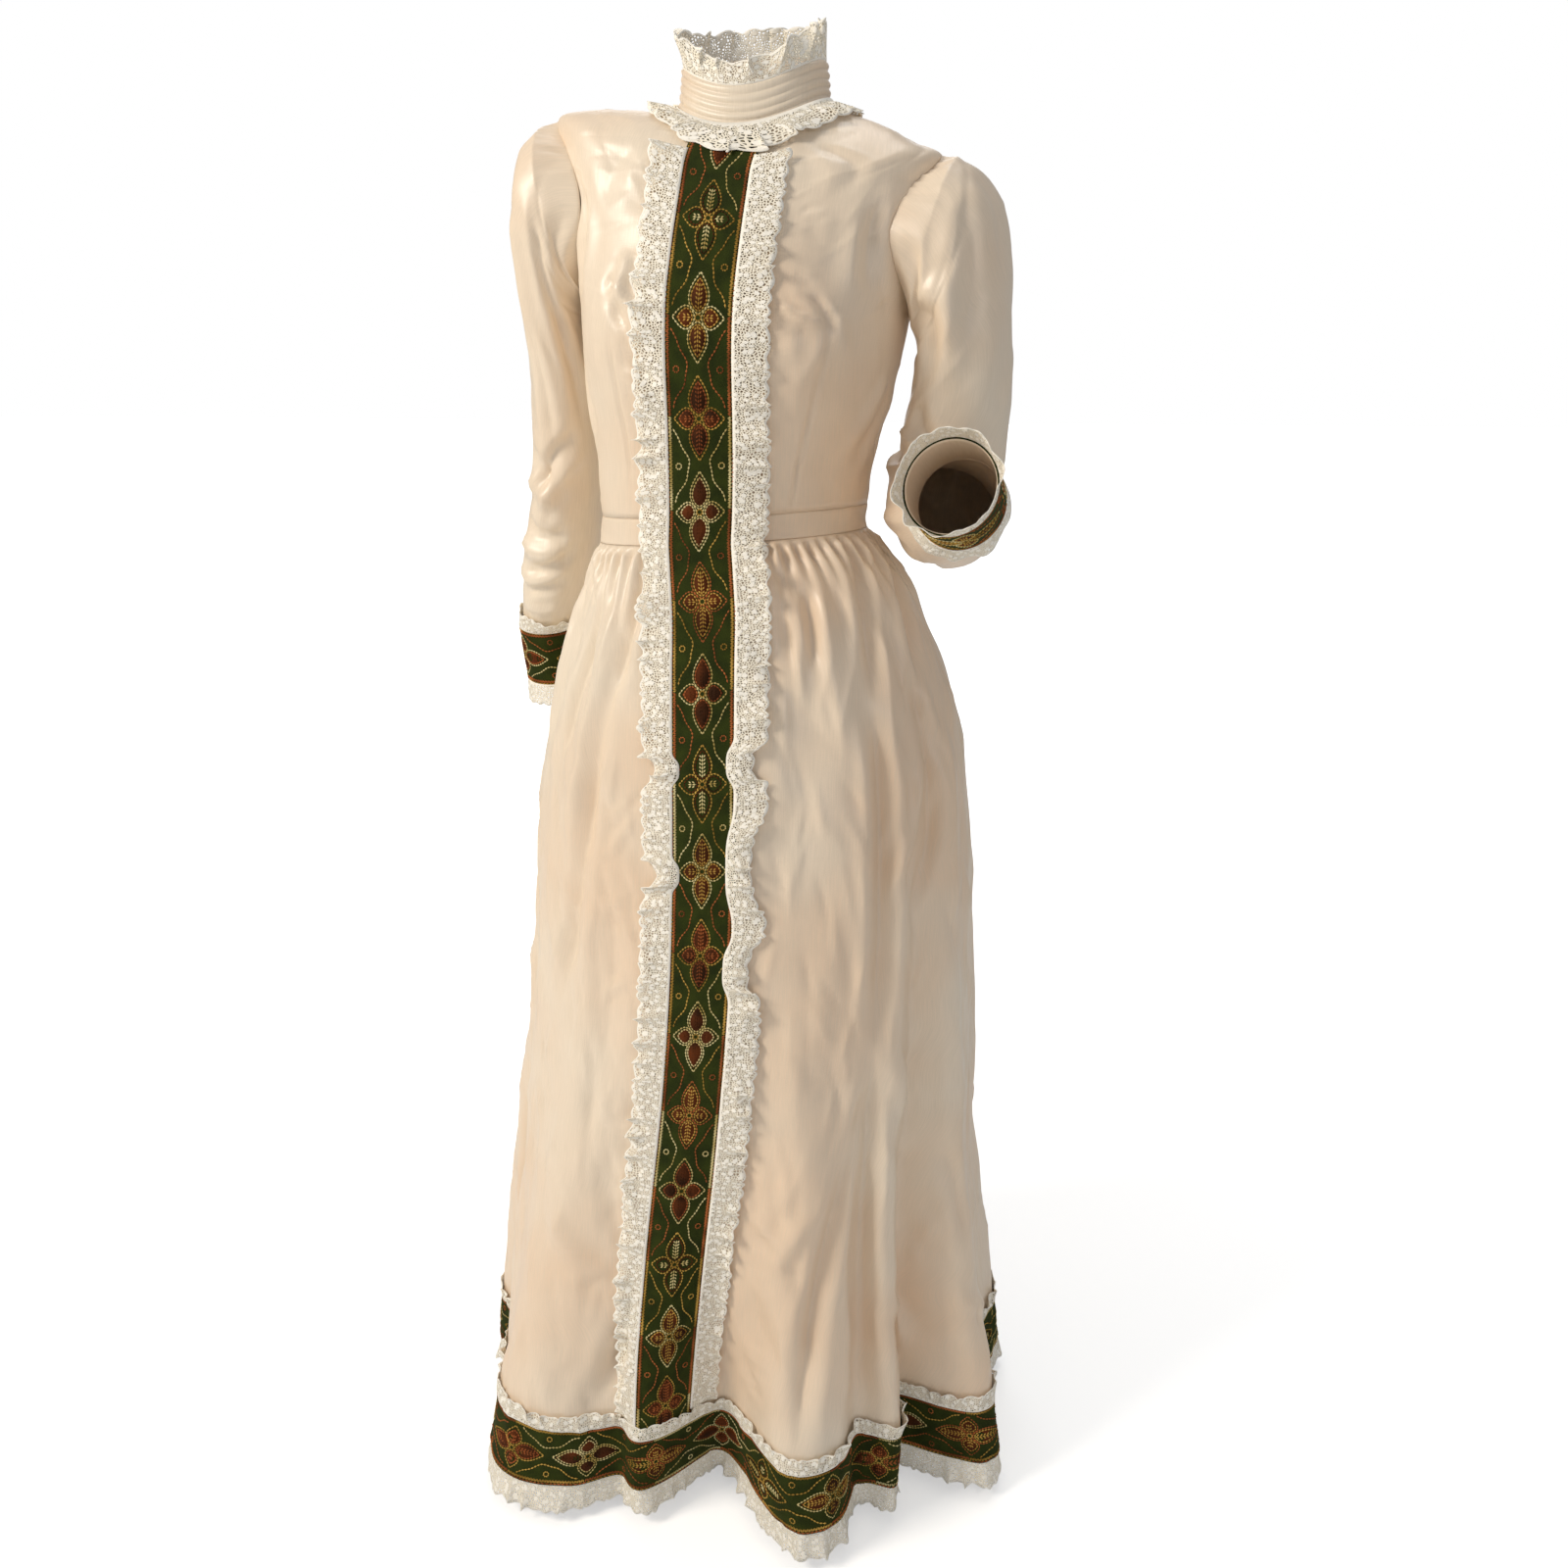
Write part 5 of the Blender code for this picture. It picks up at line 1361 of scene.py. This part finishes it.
class StitchTree:
    """A node tree that lays one small dome of thread on every point of a mesh."""

    facts = ("along", "out", "size")  # what each point carries

    def __init__(self) -> None:
        """Builds the tree once."""
        tree = bpy.data.node_groups.new("stitches", "GeometryNodeTree")
        self.tree = tree
        self.sockets: dict[str, str] = {}
        given = {"Geometry": "Geometry", "Sides": "Int", "Rings": "Int", "Thread": "Material"}
        for name, kind in given.items():
            made = tree.interface.new_socket(name=name, in_out="INPUT", socket_type="NodeSocket" + kind)
            self.sockets[name] = made.identifier
        tree.interface.new_socket(name="Geometry", in_out="OUTPUT", socket_type="NodeSocketGeometry")
        given = add_node(tree, "NodeGroupInput")
        dome = add_node(tree, "GeometryNodeMeshUVSphere", {
            "Segments": given.outputs["Sides"], "Rings": given.outputs["Rings"], "Radius": 1.0})
        along, out, size = (
            add_node(tree, "GeometryNodeInputNamedAttribute", {"Name": name}, data_type="FLOAT_VECTOR")
            .outputs["Attribute"] for name in self.facts)
        aim = add_node(tree, "FunctionNodeAlignRotationToVector", {"Vector": along}, axis="Z")
        roll = add_node(tree, "FunctionNodeAlignRotationToVector", {
            "Rotation": aim.outputs[0], "Vector": out}, axis="Y", pivot_axis="Z")
        laid = add_node(tree, "GeometryNodeInstanceOnPoints", {
            "Points": given.outputs["Geometry"], "Instance": dome.outputs["Mesh"],
            "Rotation": roll.outputs[0], "Scale": size})
        real = add_node(tree, "GeometryNodeRealizeInstances", {0: laid.outputs[0]})
        soft = add_node(tree, "GeometryNodeSetShadeSmooth", {0: real.outputs[0]})
        dyed = add_node(tree, "GeometryNodeSetMaterial", {
            "Geometry": soft.outputs[0], "Material": given.outputs["Thread"]})
        add_node(tree, "NodeGroupOutput", {0: dyed.outputs[0]})

    def lay(self, name: str, places: Array, along: Array, out: Array, size: Array,
            thread: bpy.types.Material) -> bpy.types.Object:
        """Lays stitches and turns them into a plain mesh.

        Args:
            name: The object's name.
            places: Middles of the stitches.
            along: Their directions.
            out: Outward directions.
            size: Half width, half height and half length of each.
            thread: The material.

        Returns:
            The object.
        """
        points = bpy.data.meshes.new(name + " points")
        points.from_pydata(places.tolist(), [], [])
        for key, values in zip(self.facts, (along, out, size)):
            layer = points.attributes.new(key, "FLOAT_VECTOR", "POINT")
            layer.data.foreach_set("vector", values.astype(np.float32).reshape(-1))
        holder = new_object(name + " points", points)
        nodes = holder.modifiers.new("stitches", "NODES")
        nodes.node_group = self.tree
        for key, value in (("Sides", 5), ("Rings", 2), ("Thread", thread)):
            nodes[self.sockets[key]] = value
        bpy.context.view_layer.update()
        graph = bpy.context.evaluated_depsgraph_get()
        mesh = bpy.data.meshes.new_from_object(holder.evaluated_get(graph))
        holder.modifiers.remove(nodes)
        bpy.data.objects.remove(holder)
        bpy.data.meshes.remove(points)
        mesh.name = name
        for name_left in [a.name for a in mesh.attributes if a.name in self.facts]:
            mesh.attributes.remove(mesh.attributes[name_left])
        if not mesh.materials:
            mesh.materials.append(thread)
        return new_object(name, mesh)


@dataclass
class Embroidery:
    """Flowers sewn over a ribbon's surface."""

    tree: StitchTree
    finishes: Finishes
    pattern: FlowerPattern = field(default_factory=FlowerPattern)
    half_width: float = 0.00092  # of a stitch
    half_height: float = 0.0007
    fill: float = 0.56  # half length of a stitch, as a share of its step
    proud: float = 0.0001  # height of the stitches' middles over the pile

    def sew(self, stem: str, ribbon: Grid, start: float, middle: float) -> None:
        """Sews a ribbon.

        Args:
            stem: First part of the pieces' names.
            ribbon: Its surface, with an even chart.
            start: Where the first flower lies along it.
            middle: The chart's height of its middle line.
        """
        length = float(ribbon.chart[0, -1, 0])
        for thread, rows in self.pattern.lay(length, RIBBON / 2, start).items():
            along, across = rows[:, 0], rows[:, 1] + middle
            places, out = ribbon.at(along, across, self.proud)
            half = rows[:, 2:] * 0.5
            ahead, _ = ribbon.at(along + half[:, 0], across + half[:, 1], self.proud)
            behind, _ = ribbon.at(along - half[:, 0], across - half[:, 1], self.proud)
            step = ahead - behind
            long = np.linalg.norm(step, axis=1)
            good = long > 0.0008
            alike = np.ones(len(rows))
            size = np.column_stack([self.half_width * alike, self.half_height * alike, long * self.fill])
            name = f"{stem}-{thread.name.lower()}-stitches".replace("_", "-")
            ways = step[good] / long[good][:, None]
            floss = self.finishes.floss[thread]
            piece = self.tree.lay(name, places[good], ways, out[good], size[good], floss)
            hand_over(piece, ())
        self.fill_petals(stem, ribbon, start, middle, length)

    def fill_petals(self, stem: str, ribbon: Grid, start: float, middle: float, length: float) -> None:
        """Lays the dark satin filling inside the petals, just above the velvet."""
        points, faces = [], []
        first = -math.ceil(start / self.pattern.repeat)
        for index in range(first, math.ceil((length - start) / self.pattern.repeat) + 1):
            if index % len(self.pattern.flowers) == 1:
                continue  # this flower shows bare velvet between its outlines
            for turn, reach, half in self.pattern.petals:
                line = self.pattern.petal(turn, reach, half, 0.0016)[::3]
                line = line + np.array([start + index * self.pattern.repeat, 0.0])
                if line[:, 0].min() < 0.001 or line[:, 0].max() > length - 0.001:
                    continue
                ring, _ = ribbon.at(line[:, 0], line[:, 1] + middle, self.proud)
                core, _ = ribbon.at(*(line.mean(axis=0, keepdims=True) + [[0.0, middle]]).T, 0.00016)
                base = len(points)
                points += [*ring.tolist(), *core.tolist()]
                count = len(ring)
                faces += [(base + i, base + (i + 1) % count, base + count) for i in range(count)]
        mesh = bpy.data.meshes.new(f"{stem}-petal-filling".replace("_", "-"))
        mesh.from_pydata(points, [], faces)
        made = new_object(mesh.name, mesh, self.finishes.floss[Thread.BROWN])
        add_wall(made, 0.0002, 0.0)
        hand_over(made, ())


@dataclass
class FrontTrim:
    """The ribbon down the centre front, with gathered lace on both sides."""

    body: BodyForm
    finishes: Finishes
    embroidery: Embroidery
    top: float = NECK - 0.010
    steps: int = 320
    slips: dict[Side, tuple[tuple[float, float], ...]] = field(default_factory=lambda: {
        Side.LEFT: ((0.562, 0.018), (0.662, 0.042), (0.766, 0.025)),
        Side.RIGHT: ((0.566, 0.012), (0.669, 0.014))})

    def levels(self, bottom: float, top: float, count: int) -> tuple[Array, Array]:
        """Levels at even steps down the centre front, and the metres to each from the top."""
        fine = np.linspace(top, bottom, 1200)
        line = self.body.plain(fine, read_table(FRONT_LINE, fine)[0])
        run = run_along(line)
        even = np.linspace(0, run[-1], count)
        return np.interp(even, run, fine), even

    def build(self) -> None:
        """Builds the ribbon, its embroidery and the two laces."""
        level, run = self.levels(RIBBON_TOP + SEAM, self.top, self.steps)
        across = np.linspace(-RIBBON / 2, RIBBON / 2, 13)
        angle = self.body.across_front(level, np.tile(across, (len(level), 1)))
        sway = 0.0004 * np.sin(run * 43 + 1.0)[:, None] * (np.abs(across) / 0.033) ** 3
        crown = 0.0003 * (1 - (across / 0.033) ** 2)[None, :]
        points, normals = self.body.place(level[:, None] + 0 * angle, angle, RIBBON_LIFT + sway + crown)
        points, normals = points.transpose(1, 0, 2), normals.transpose(1, 0, 2)
        grid = Grid(points, normals, even_chart(13, self.steps, float(run[-1]), RIBBON))
        piece = grid.mesh("front_ribbon", self.finishes.velvet, 0.0010)
        hand_over(piece, ("front_ribbon",))
        self.embroidery.sew("front_ribbon", grid, 0.0057, RIBBON / 2)
        for side, seed in ((Side.LEFT, 1.0), (Side.RIGHT, 2.6)):
            self.lace(side, Ruffle(0.035, 0.027, 0.0100, seed))

    def lace(self, side: Side, ruffle: Ruffle) -> None:
        """Builds the gathered lace along one edge of the ribbon."""
        top = self.body.below_neck(np.zeros(1), np.array([0.030]))[0, 0]
        level, run = self.levels(RIBBON_TOP + 0.016, top, 820)
        share = np.linspace(0, 1, 9)
        crest, phase = ruffle.crest(run), ruffle.phase(run)
        reach = ruffle.reach(run)
        # Where the strip has slipped, it lies some way over the ribbon
        slipped = sum(np.exp(-(((run - middle) / half) ** 4)) for middle, half in self.slips[side])
        out = share[:, None] * reach * (1 - 0.2 * slipped) + RIBBON / 2 - 0.0022 - 0.0075 * slipped
        shift = 0.0028 * share[:, None] ** 1.2 * np.cos(phase)[None, :]
        lift = 0.0026 + (ruffle.height * crest)[None, :] * share[:, None] ** 1.4 + 0.0006 * share[:, None]
        lift = lift + 0.0030 * slipped * np.sin(math.pi * share[:, None])
        moved = np.interp(run[None, :] + shift, run, level)
        points = np.empty((len(share), len(run), 3))
        normals = np.empty_like(points)
        for i in range(len(share)):
            angle = self.body.across_front(moved[i], side.value * out[i][:, None])[:, 0]
            points[i], normals[i] = self.body.place(moved[i], angle, lift[i])
        sew_lace(f"front_lace_{side.word}", (points, normals), run, share, ruffle, self.finishes)


@dataclass
class HemTrim:
    """The ribbon round the hem, with gathered lace above and below it."""

    body: BodyForm
    finishes: Finishes
    embroidery: Embroidery

    def alikeangles(self, first: float, last: float, step: float) -> tuple[Array, Array]:
        """Angles at even metres round the hem, and those metres from the start."""
        fine = np.linspace(first, last, 1441)
        line = self.body.plain(np.full(fine.shape, HEM + HEM_RIBBON / 2), fine)
        run = run_along(line)
        even = np.linspace(0, run[-1], round(run[-1] / step) + 1)
        return np.interp(even, run, fine), even

    def build(self) -> None:
        """Builds the ribbon, its embroidery and the laces."""
        level = np.linspace(HEM, RIBBON_TOP, 12)[:, None]
        for tail, first, last in PANELS:
            angle, run = self.alikeangles(first, last, 0.005)
            points, normals = self.body.place(level + 0 * angle, angle[None, :] + 0 * level, RIBBON_LIFT)
            chart = even_chart(12, len(run), float(run[-1]), HEM_RIBBON)
            piece = Grid(points, normals, chart).mesh(f"hem_ribbon_{tail}", self.finishes.velvet, 0.0010)
            hand_over(piece, (f"hem_ribbon_{tail}",))
            self.lace(tail, first, last, Ruffle(0.019, 0.021, 0.0075, 1.0 + first / 40), 1)
            self.lace(tail, first, last, Ruffle(0.033, 0.026, 0.0075, 2.0 + first / 40), -1)
        angle, run = self.alikeangles(-180.0, 180.0, 0.004)
        points, normals = self.body.place(level + 0 * angle, angle[None, :] + 0 * level, RIBBON_LIFT)
        whole = Grid(points, normals, even_chart(12, len(run), float(run[-1]), HEM_RIBBON))
        self.embroidery.sew("hem_ribbon", whole, 0.030, HEM_RIBBON / 2)

    def lace(self, tail: str, first: float, last: float, ruffle: Ruffle, way: int) -> None:
        """Builds a strip of lace above (1) or below (-1) the ribbon on one panel."""
        angle, run = self.alikeangles(first, last, 0.0022)
        share = np.linspace(0, 1, 7)
        crest, phase, reach = ruffle.crest(run), ruffle.phase(run), ruffle.reach(run)
        base = RIBBON_TOP - 0.002 if way == 1 else HEM + 0.002
        level = base + way * share[:, None] * reach
        shift = 0.0024 * share[:, None] * np.cos(phase)[None, :]
        moved = np.interp(run[None, :] + shift, run, angle)
        lift = (0.0026 if way == 1 else 0.0002) + (ruffle.height * crest) * share[:, None] ** 1.3
        sew_lace(f"hem_lace_{'upper' if way == 1 else 'lower'}_{tail}", self.body.place(level, moved, lift),
                 run, share, ruffle, self.finishes)


@dataclass
class Neck:
    """The draped neck band, the standing ruffle and the lace collar."""

    body: BodyForm
    finishes: Finishes
    folds: int = 5

    def band(self) -> None:
        """Builds the band of soft horizontal folds that lean over each other."""
        angle = np.linspace(-180, 180, 161)[None, :]
        share = np.linspace(0, 1, 41)[:, None]
        wander = 0.16 * np.sin(np.radians(angle) + 0.6) + 0.10 * np.sin(np.radians(2 * angle) + 2.0)
        wander = wander + 0.05 * np.sin(np.radians(5 * angle))
        phase = (share * self.folds + wander * np.sin(math.pi * share)) % 1.0
        fold = np.abs(np.sin(math.pi * phase)) ** 0.7 * (0.75 + 0.5 * phase)
        deep = 0.0024 * (0.8 + 0.2 * np.sin(np.radians(3 * angle) + share * 4))
        out = deep * fold * smooth(share / 0.05) * smooth((1 - share) / 0.05) - 0.0002
        rise = 0.0004 + (NECK_HEIGHT - 0.0004) * share + 0 * angle
        placed = self.body.neck(rise, out, angle + 0 * share)
        sew_panel("neck_band", placed, self.finishes)

    def ruffle(self) -> None:
        """Builds the standing lace, highest at the sides and lower at the front."""
        shape = Ruffle(0.034, 0.025, 0.0150, 0.7, 1.7)
        angle = np.linspace(-180, 180, 330)
        run = np.radians(angle + 180) * 0.062
        share = np.linspace(0, 1, 13)[:, None]
        crest, phase, reach = shape.crest(run), shape.phase(run), shape.reach(run)
        tall = 0.88 + 0.14 * np.cos(np.radians(2 * (angle - 90))) - 0.16 * np.exp(-((angle / 40) ** 2))
        rise = NECK_HEIGHT - 0.001 + share * reach * tall
        forward = 0.004 * share * np.exp(-((angle / 45) ** 2))
        out = 0.0002 + share**1.2 * (shape.height * crest - 0.001) + forward
        moved = angle + np.degrees(0.0060 * share**1.2 * np.cos(phase) / 0.062)
        sew_lace("neck_ruffle", self.body.neck(rise, out, moved), run, share[:, 0], shape, self.finishes)

    def collar(self) -> None:
        """Builds the lace that lies round the base of the neck band."""
        shape = Ruffle(0.032, 0.025, 0.0085, 1.9, 1.6)
        angle = np.linspace(-179.5, 179.5, 340)
        run = np.radians(angle + 180) * 0.075
        share = np.linspace(0, 1, 11)
        crest, phase, reach = shape.crest(run), shape.phase(run), shape.reach(run)
        points = np.empty((len(share), len(angle), 3))
        normals = np.empty_like(points)
        root = np.ones(len(angle))
        points[0], normals[0] = self.body.neck(0.0055 * root, 0.0034 * root, angle)
        fine = np.linspace(0, 0.040, 41)
        table = self.body.below_neck(angle, fine)
        for i in range(1, len(share)):
            down = share[i] * reach
            level = np.array([np.interp(d, fine, row) for d, row in zip(down, table)])
            moved = angle + np.degrees(0.0045 * share[i] * np.cos(phase) / 0.075)
            lift = 0.0036 + 0.0016 * math.sin(math.pi * share[i]) + shape.height * crest * share[i] ** 1.3
            points[i], normals[i] = self.body.place(level, moved, lift)
        sew_lace("collar_lace", (points, normals), run, share, shape, self.finishes)

    def build(self) -> None:
        """Builds all three."""
        self.band()
        self.ruffle()
        self.collar()


@dataclass
class Sleeve:
    """A sleeve with its gathered cap, its ribbon cuff, two laces and a button."""

    form: SleeveForm
    finishes: Finishes
    embroidery: Embroidery
    button_angle: float = 200.0

    def build(self) -> None:
        """Builds every piece of one sleeve."""
        word = self.form.side.word
        angle = (np.arange(112) * (360 / 112))[None, :]
        row = (self.form.last * np.linspace(0, 1, 124) ** 1.15)[:, None]
        placed = self.form.place(row + 0 * angle, angle + 0 * row)
        sew_panel(f"sleeve_{word}", placed, self.finishes, True)
        self.cuff(word)
        self.lace(word, Ruffle(0.026, 0.030, 0.0070, 0.4 + self.form.side.value), "upper")
        self.lace(word, Ruffle(0.027, 0.030, 0.0060, 1.7 + self.form.side.value), "lower")
        self.button(word)

    def cuff(self, word: str) -> None:
        """Builds the ribbon, its facing and its embroidery."""
        angle = np.linspace(0, 360, 97)
        along = np.linspace(-0.002, CUFF_LENGTH + SEAM, 12)[:, None]
        points, normals = self.form.cuff(along + 0 * angle, 0.0014, angle[None, :] + 0 * along)
        length = float(run_along(points[0])[-1])
        grid = Grid(points, normals, even_chart(12, 97, length, CUFF_LENGTH + 0.002))
        ring = Grid(points[:, :-1], normals[:, :-1], grid.chart, True)
        piece = ring.mesh(f"cuff_{word}", self.finishes.velvet, 0.0010)
        hand_over(piece, (f"cuff_{word}",))
        self.embroidery.sew(f"cuff_{word}", grid, 0.028, RIBBON / 2 + 0.001)
        inner, inner_normals = self.form.cuff(along[::-1] + 0 * angle, 0.0001, angle[None, :] + 0 * along)
        facing = Grid(inner[:, :-1], inner_normals[:, :-1], grid.chart, True)
        lining = facing.mesh(f"cuff_facing_{word}", self.finishes.taffeta, 0.0006)
        hand_over(lining, ())

    def lace(self, word: str, shape: Ruffle, place: str) -> None:
        """Builds the lace that lies up the sleeve from the cuff (upper) or hangs from its end (lower)."""
        angle = np.arange(180) * 2.0
        run = np.radians(np.append(angle, 360.0)) * 0.040
        share = np.linspace(0, 1, 8)[:, None]
        crest, reach = self.looped(shape, run)
        wave = shape.height * crest * share**1.2
        if place == "upper":
            row = self.form.back_from_end(angle, np.maximum(share * reach - 0.0007, 0.0))
            placed = self.form.place(row, angle[None, :] + 0 * row, 0.0022 + 0.0012 * share + wave, 0.6)
        else:
            along = CUFF_LENGTH - 0.002 + share * reach
            placed = self.form.cuff(along, 0.0018 + 0.0014 * share + wave, angle[None, :] + 0 * along)
        sew_lace(f"cuff_lace_{place}_{word}", placed, run, share[:, 0], shape, self.finishes,
                 True)

    @staticmethod
    def looped(shape: Ruffle, run: Array) -> tuple[Array, Array]:
        """Crests and reach round a cuff, eased so that the ends meet."""
        here, whole = run[:-1], run[-1]
        ease = smooth((here / whole - 0.85) / 0.15)
        crest = shape.crest(here) * (1 - ease) + shape.crest(here - whole) * ease
        reach = shape.reach(here) * (1 - ease) + shape.reach(here - whole) * ease
        return crest, reach

    def button(self, word: str) -> None:
        """Builds the small domed button, with a rim and a dimple."""
        spot = np.array([self.button_angle])
        base, out = self.form.cuff(np.array([CUFF_LENGTH / 2 + SEAM]), 0.0022, spot)
        profile = ((0.0034, 0.0), (0.0045, 0.0004), (0.0046, 0.0010), (0.0041, 0.0014), (0.0034, 0.0012),
                   (0.0029, 0.0016), (0.0017, 0.0023), (0.0008, 0.0024), (0.0003, 0.0021))
        side = np.cross(out[0], (0.0, 0.0, 1.0))
        side /= np.linalg.norm(side)
        other = np.cross(out[0], side)
        turns = np.radians(np.arange(32) * 11.25)
        points, faces = [], []
        for radius, rise in profile:
            middle = base[0] + out[0] * rise
            points += [middle + radius * (math.cos(t) * side + math.sin(t) * other) for t in turns]
        for ring in range(len(profile) - 1):
            for c in range(32):
                a, b = ring * 32 + c, ring * 32 + (c + 1) % 32
                faces.append((a, b, b + 32, a + 32))
        last = (len(profile) - 1) * 32
        faces += [tuple(range(31, -1, -1)), tuple(range(last, last + 32))]
        mesh = bpy.data.meshes.new(f"cuff-button-{word}")
        mesh.from_pydata([tuple(p) for p in points], [], faces)
        made = new_object(mesh.name, mesh, self.finishes.nickel)
        hand_over(made, (f"cuff_button_{word}",))


@dataclass(frozen=True)
class Studio:
    """A pale floor, soft lights and the camera."""

    eye: tuple[float, float, float] = (0.3763, -1.2702, -0.245)
    ahead: tuple[float, float, float] = (-0.2472, 0.9227, -0.2957)
    right: tuple[float, float, float] = (0.9659, 0.2588, 0.0)
    lens: float = 29.7
    floor_level: float = -1.436
    aim: tuple[float, float, float] = (0.0, 0.0, -0.6)  # what the lamps point at
    soft_light: float = 0.33  # strength of the light that comes from all round
    # name, place, size, power, colour
    lamps: tuple[tuple[str, tuple[float, float, float], float, float, str], ...] = (
        ("key", (-2.3, -1.9, 1.3), 1.3, 82.0, "#fff6ea"),
        ("fill", (2.3, -2.4, 0.2), 1.8, 9.0, "#eef2ff"),
        ("top", (0.3, 0.8, 2.6), 1.6, 20.0, "#ffffff"),
        ("back", (-0.8, 3.0, 0.8), 2.4, 20.0, "#ffffff"))

    def build(self) -> None:
        """Builds the floor, the lights, the sky and the camera."""
        mesh = bpy.data.meshes.new("floor")
        reach = 40.0
        corners = ((-reach, -reach), (reach, -reach), (reach, reach), (-reach, reach))
        mesh.from_pydata([(*corner, self.floor_level) for corner in corners], [], [(0, 1, 2, 3)])
        mesh.materials.append(Floor().build())
        new_object("floor", mesh)
        for name, spot, size, power, tint in self.lamps:
            light = bpy.data.lights.new(name, "AREA")
            light.shape, light.size, light.energy = "DISK", size, power
            light.color = linear(tint)[:3]
            aim = Vector(spot) - Vector(self.aim)
            lamp = new_object(name, light)
            lamp.matrix_world = Matrix.Translation(spot) @ aim.to_track_quat("Z", "Y").to_matrix().to_4x4()
        world = bpy.data.worlds.new("studio")
        world.use_nodes = True
        tree = world.node_tree
        background = tree.nodes["Background"]
        seen = add_node(tree, "ShaderNodeLightPath").outputs["Is Camera Ray"]
        strength = add_node(tree, "ShaderNodeMapRange", {
            "Value": seen, "To Min": self.soft_light, "To Max": 1.0}).outputs[0]
        background.inputs["Color"].default_value = (1.0, 1.0, 1.0, 1.0)
        tree.links.new(strength, background.inputs["Strength"])
        bpy.context.scene.world = world
        bpy.context.scene.view_settings.view_transform = "Standard"
        right, ahead = np.array(self.right), np.array(self.ahead)
        up = np.cross(right, ahead)
        camera = new_object("camera", bpy.data.cameras.new("camera"))
        camera.data.lens, camera.data.sensor_width = self.lens, 36.0
        camera.matrix_world = Matrix([
            [right[i], up[i], -ahead[i], self.eye[i]] for i in range(3)] + [[0, 0, 0, 1]])
        bpy.context.scene.camera = camera


def main() -> None:
    """Builds the dress and its studio."""
    logging.basicConfig(level=logging.INFO, format="%(message)s")
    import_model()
    finishes = Finishes.build()
    body = BodyForm()
    embroidery = Embroidery(StitchTree(), finishes)
    Bodice(body, finishes).build()
    Skirt(body, finishes).build()
    FrontTrim(body, finishes, embroidery).build()
    HemTrim(body, finishes, embroidery).build()
    Neck(body, finishes).build()
    sleeves = {
        Side.RIGHT: (RIGHT_SLEEVE, RIGHT_SLEEVE_CREASES), Side.LEFT: (LEFT_SLEEVE, LEFT_SLEEVE_CREASES)}
    for side, (table, creases) in sleeves.items():
        Sleeve(SleeveForm(side, table, creases, body, 20 + side.value), finishes, embroidery).build()
    Studio().build()


if __name__ == "__main__":
    main()
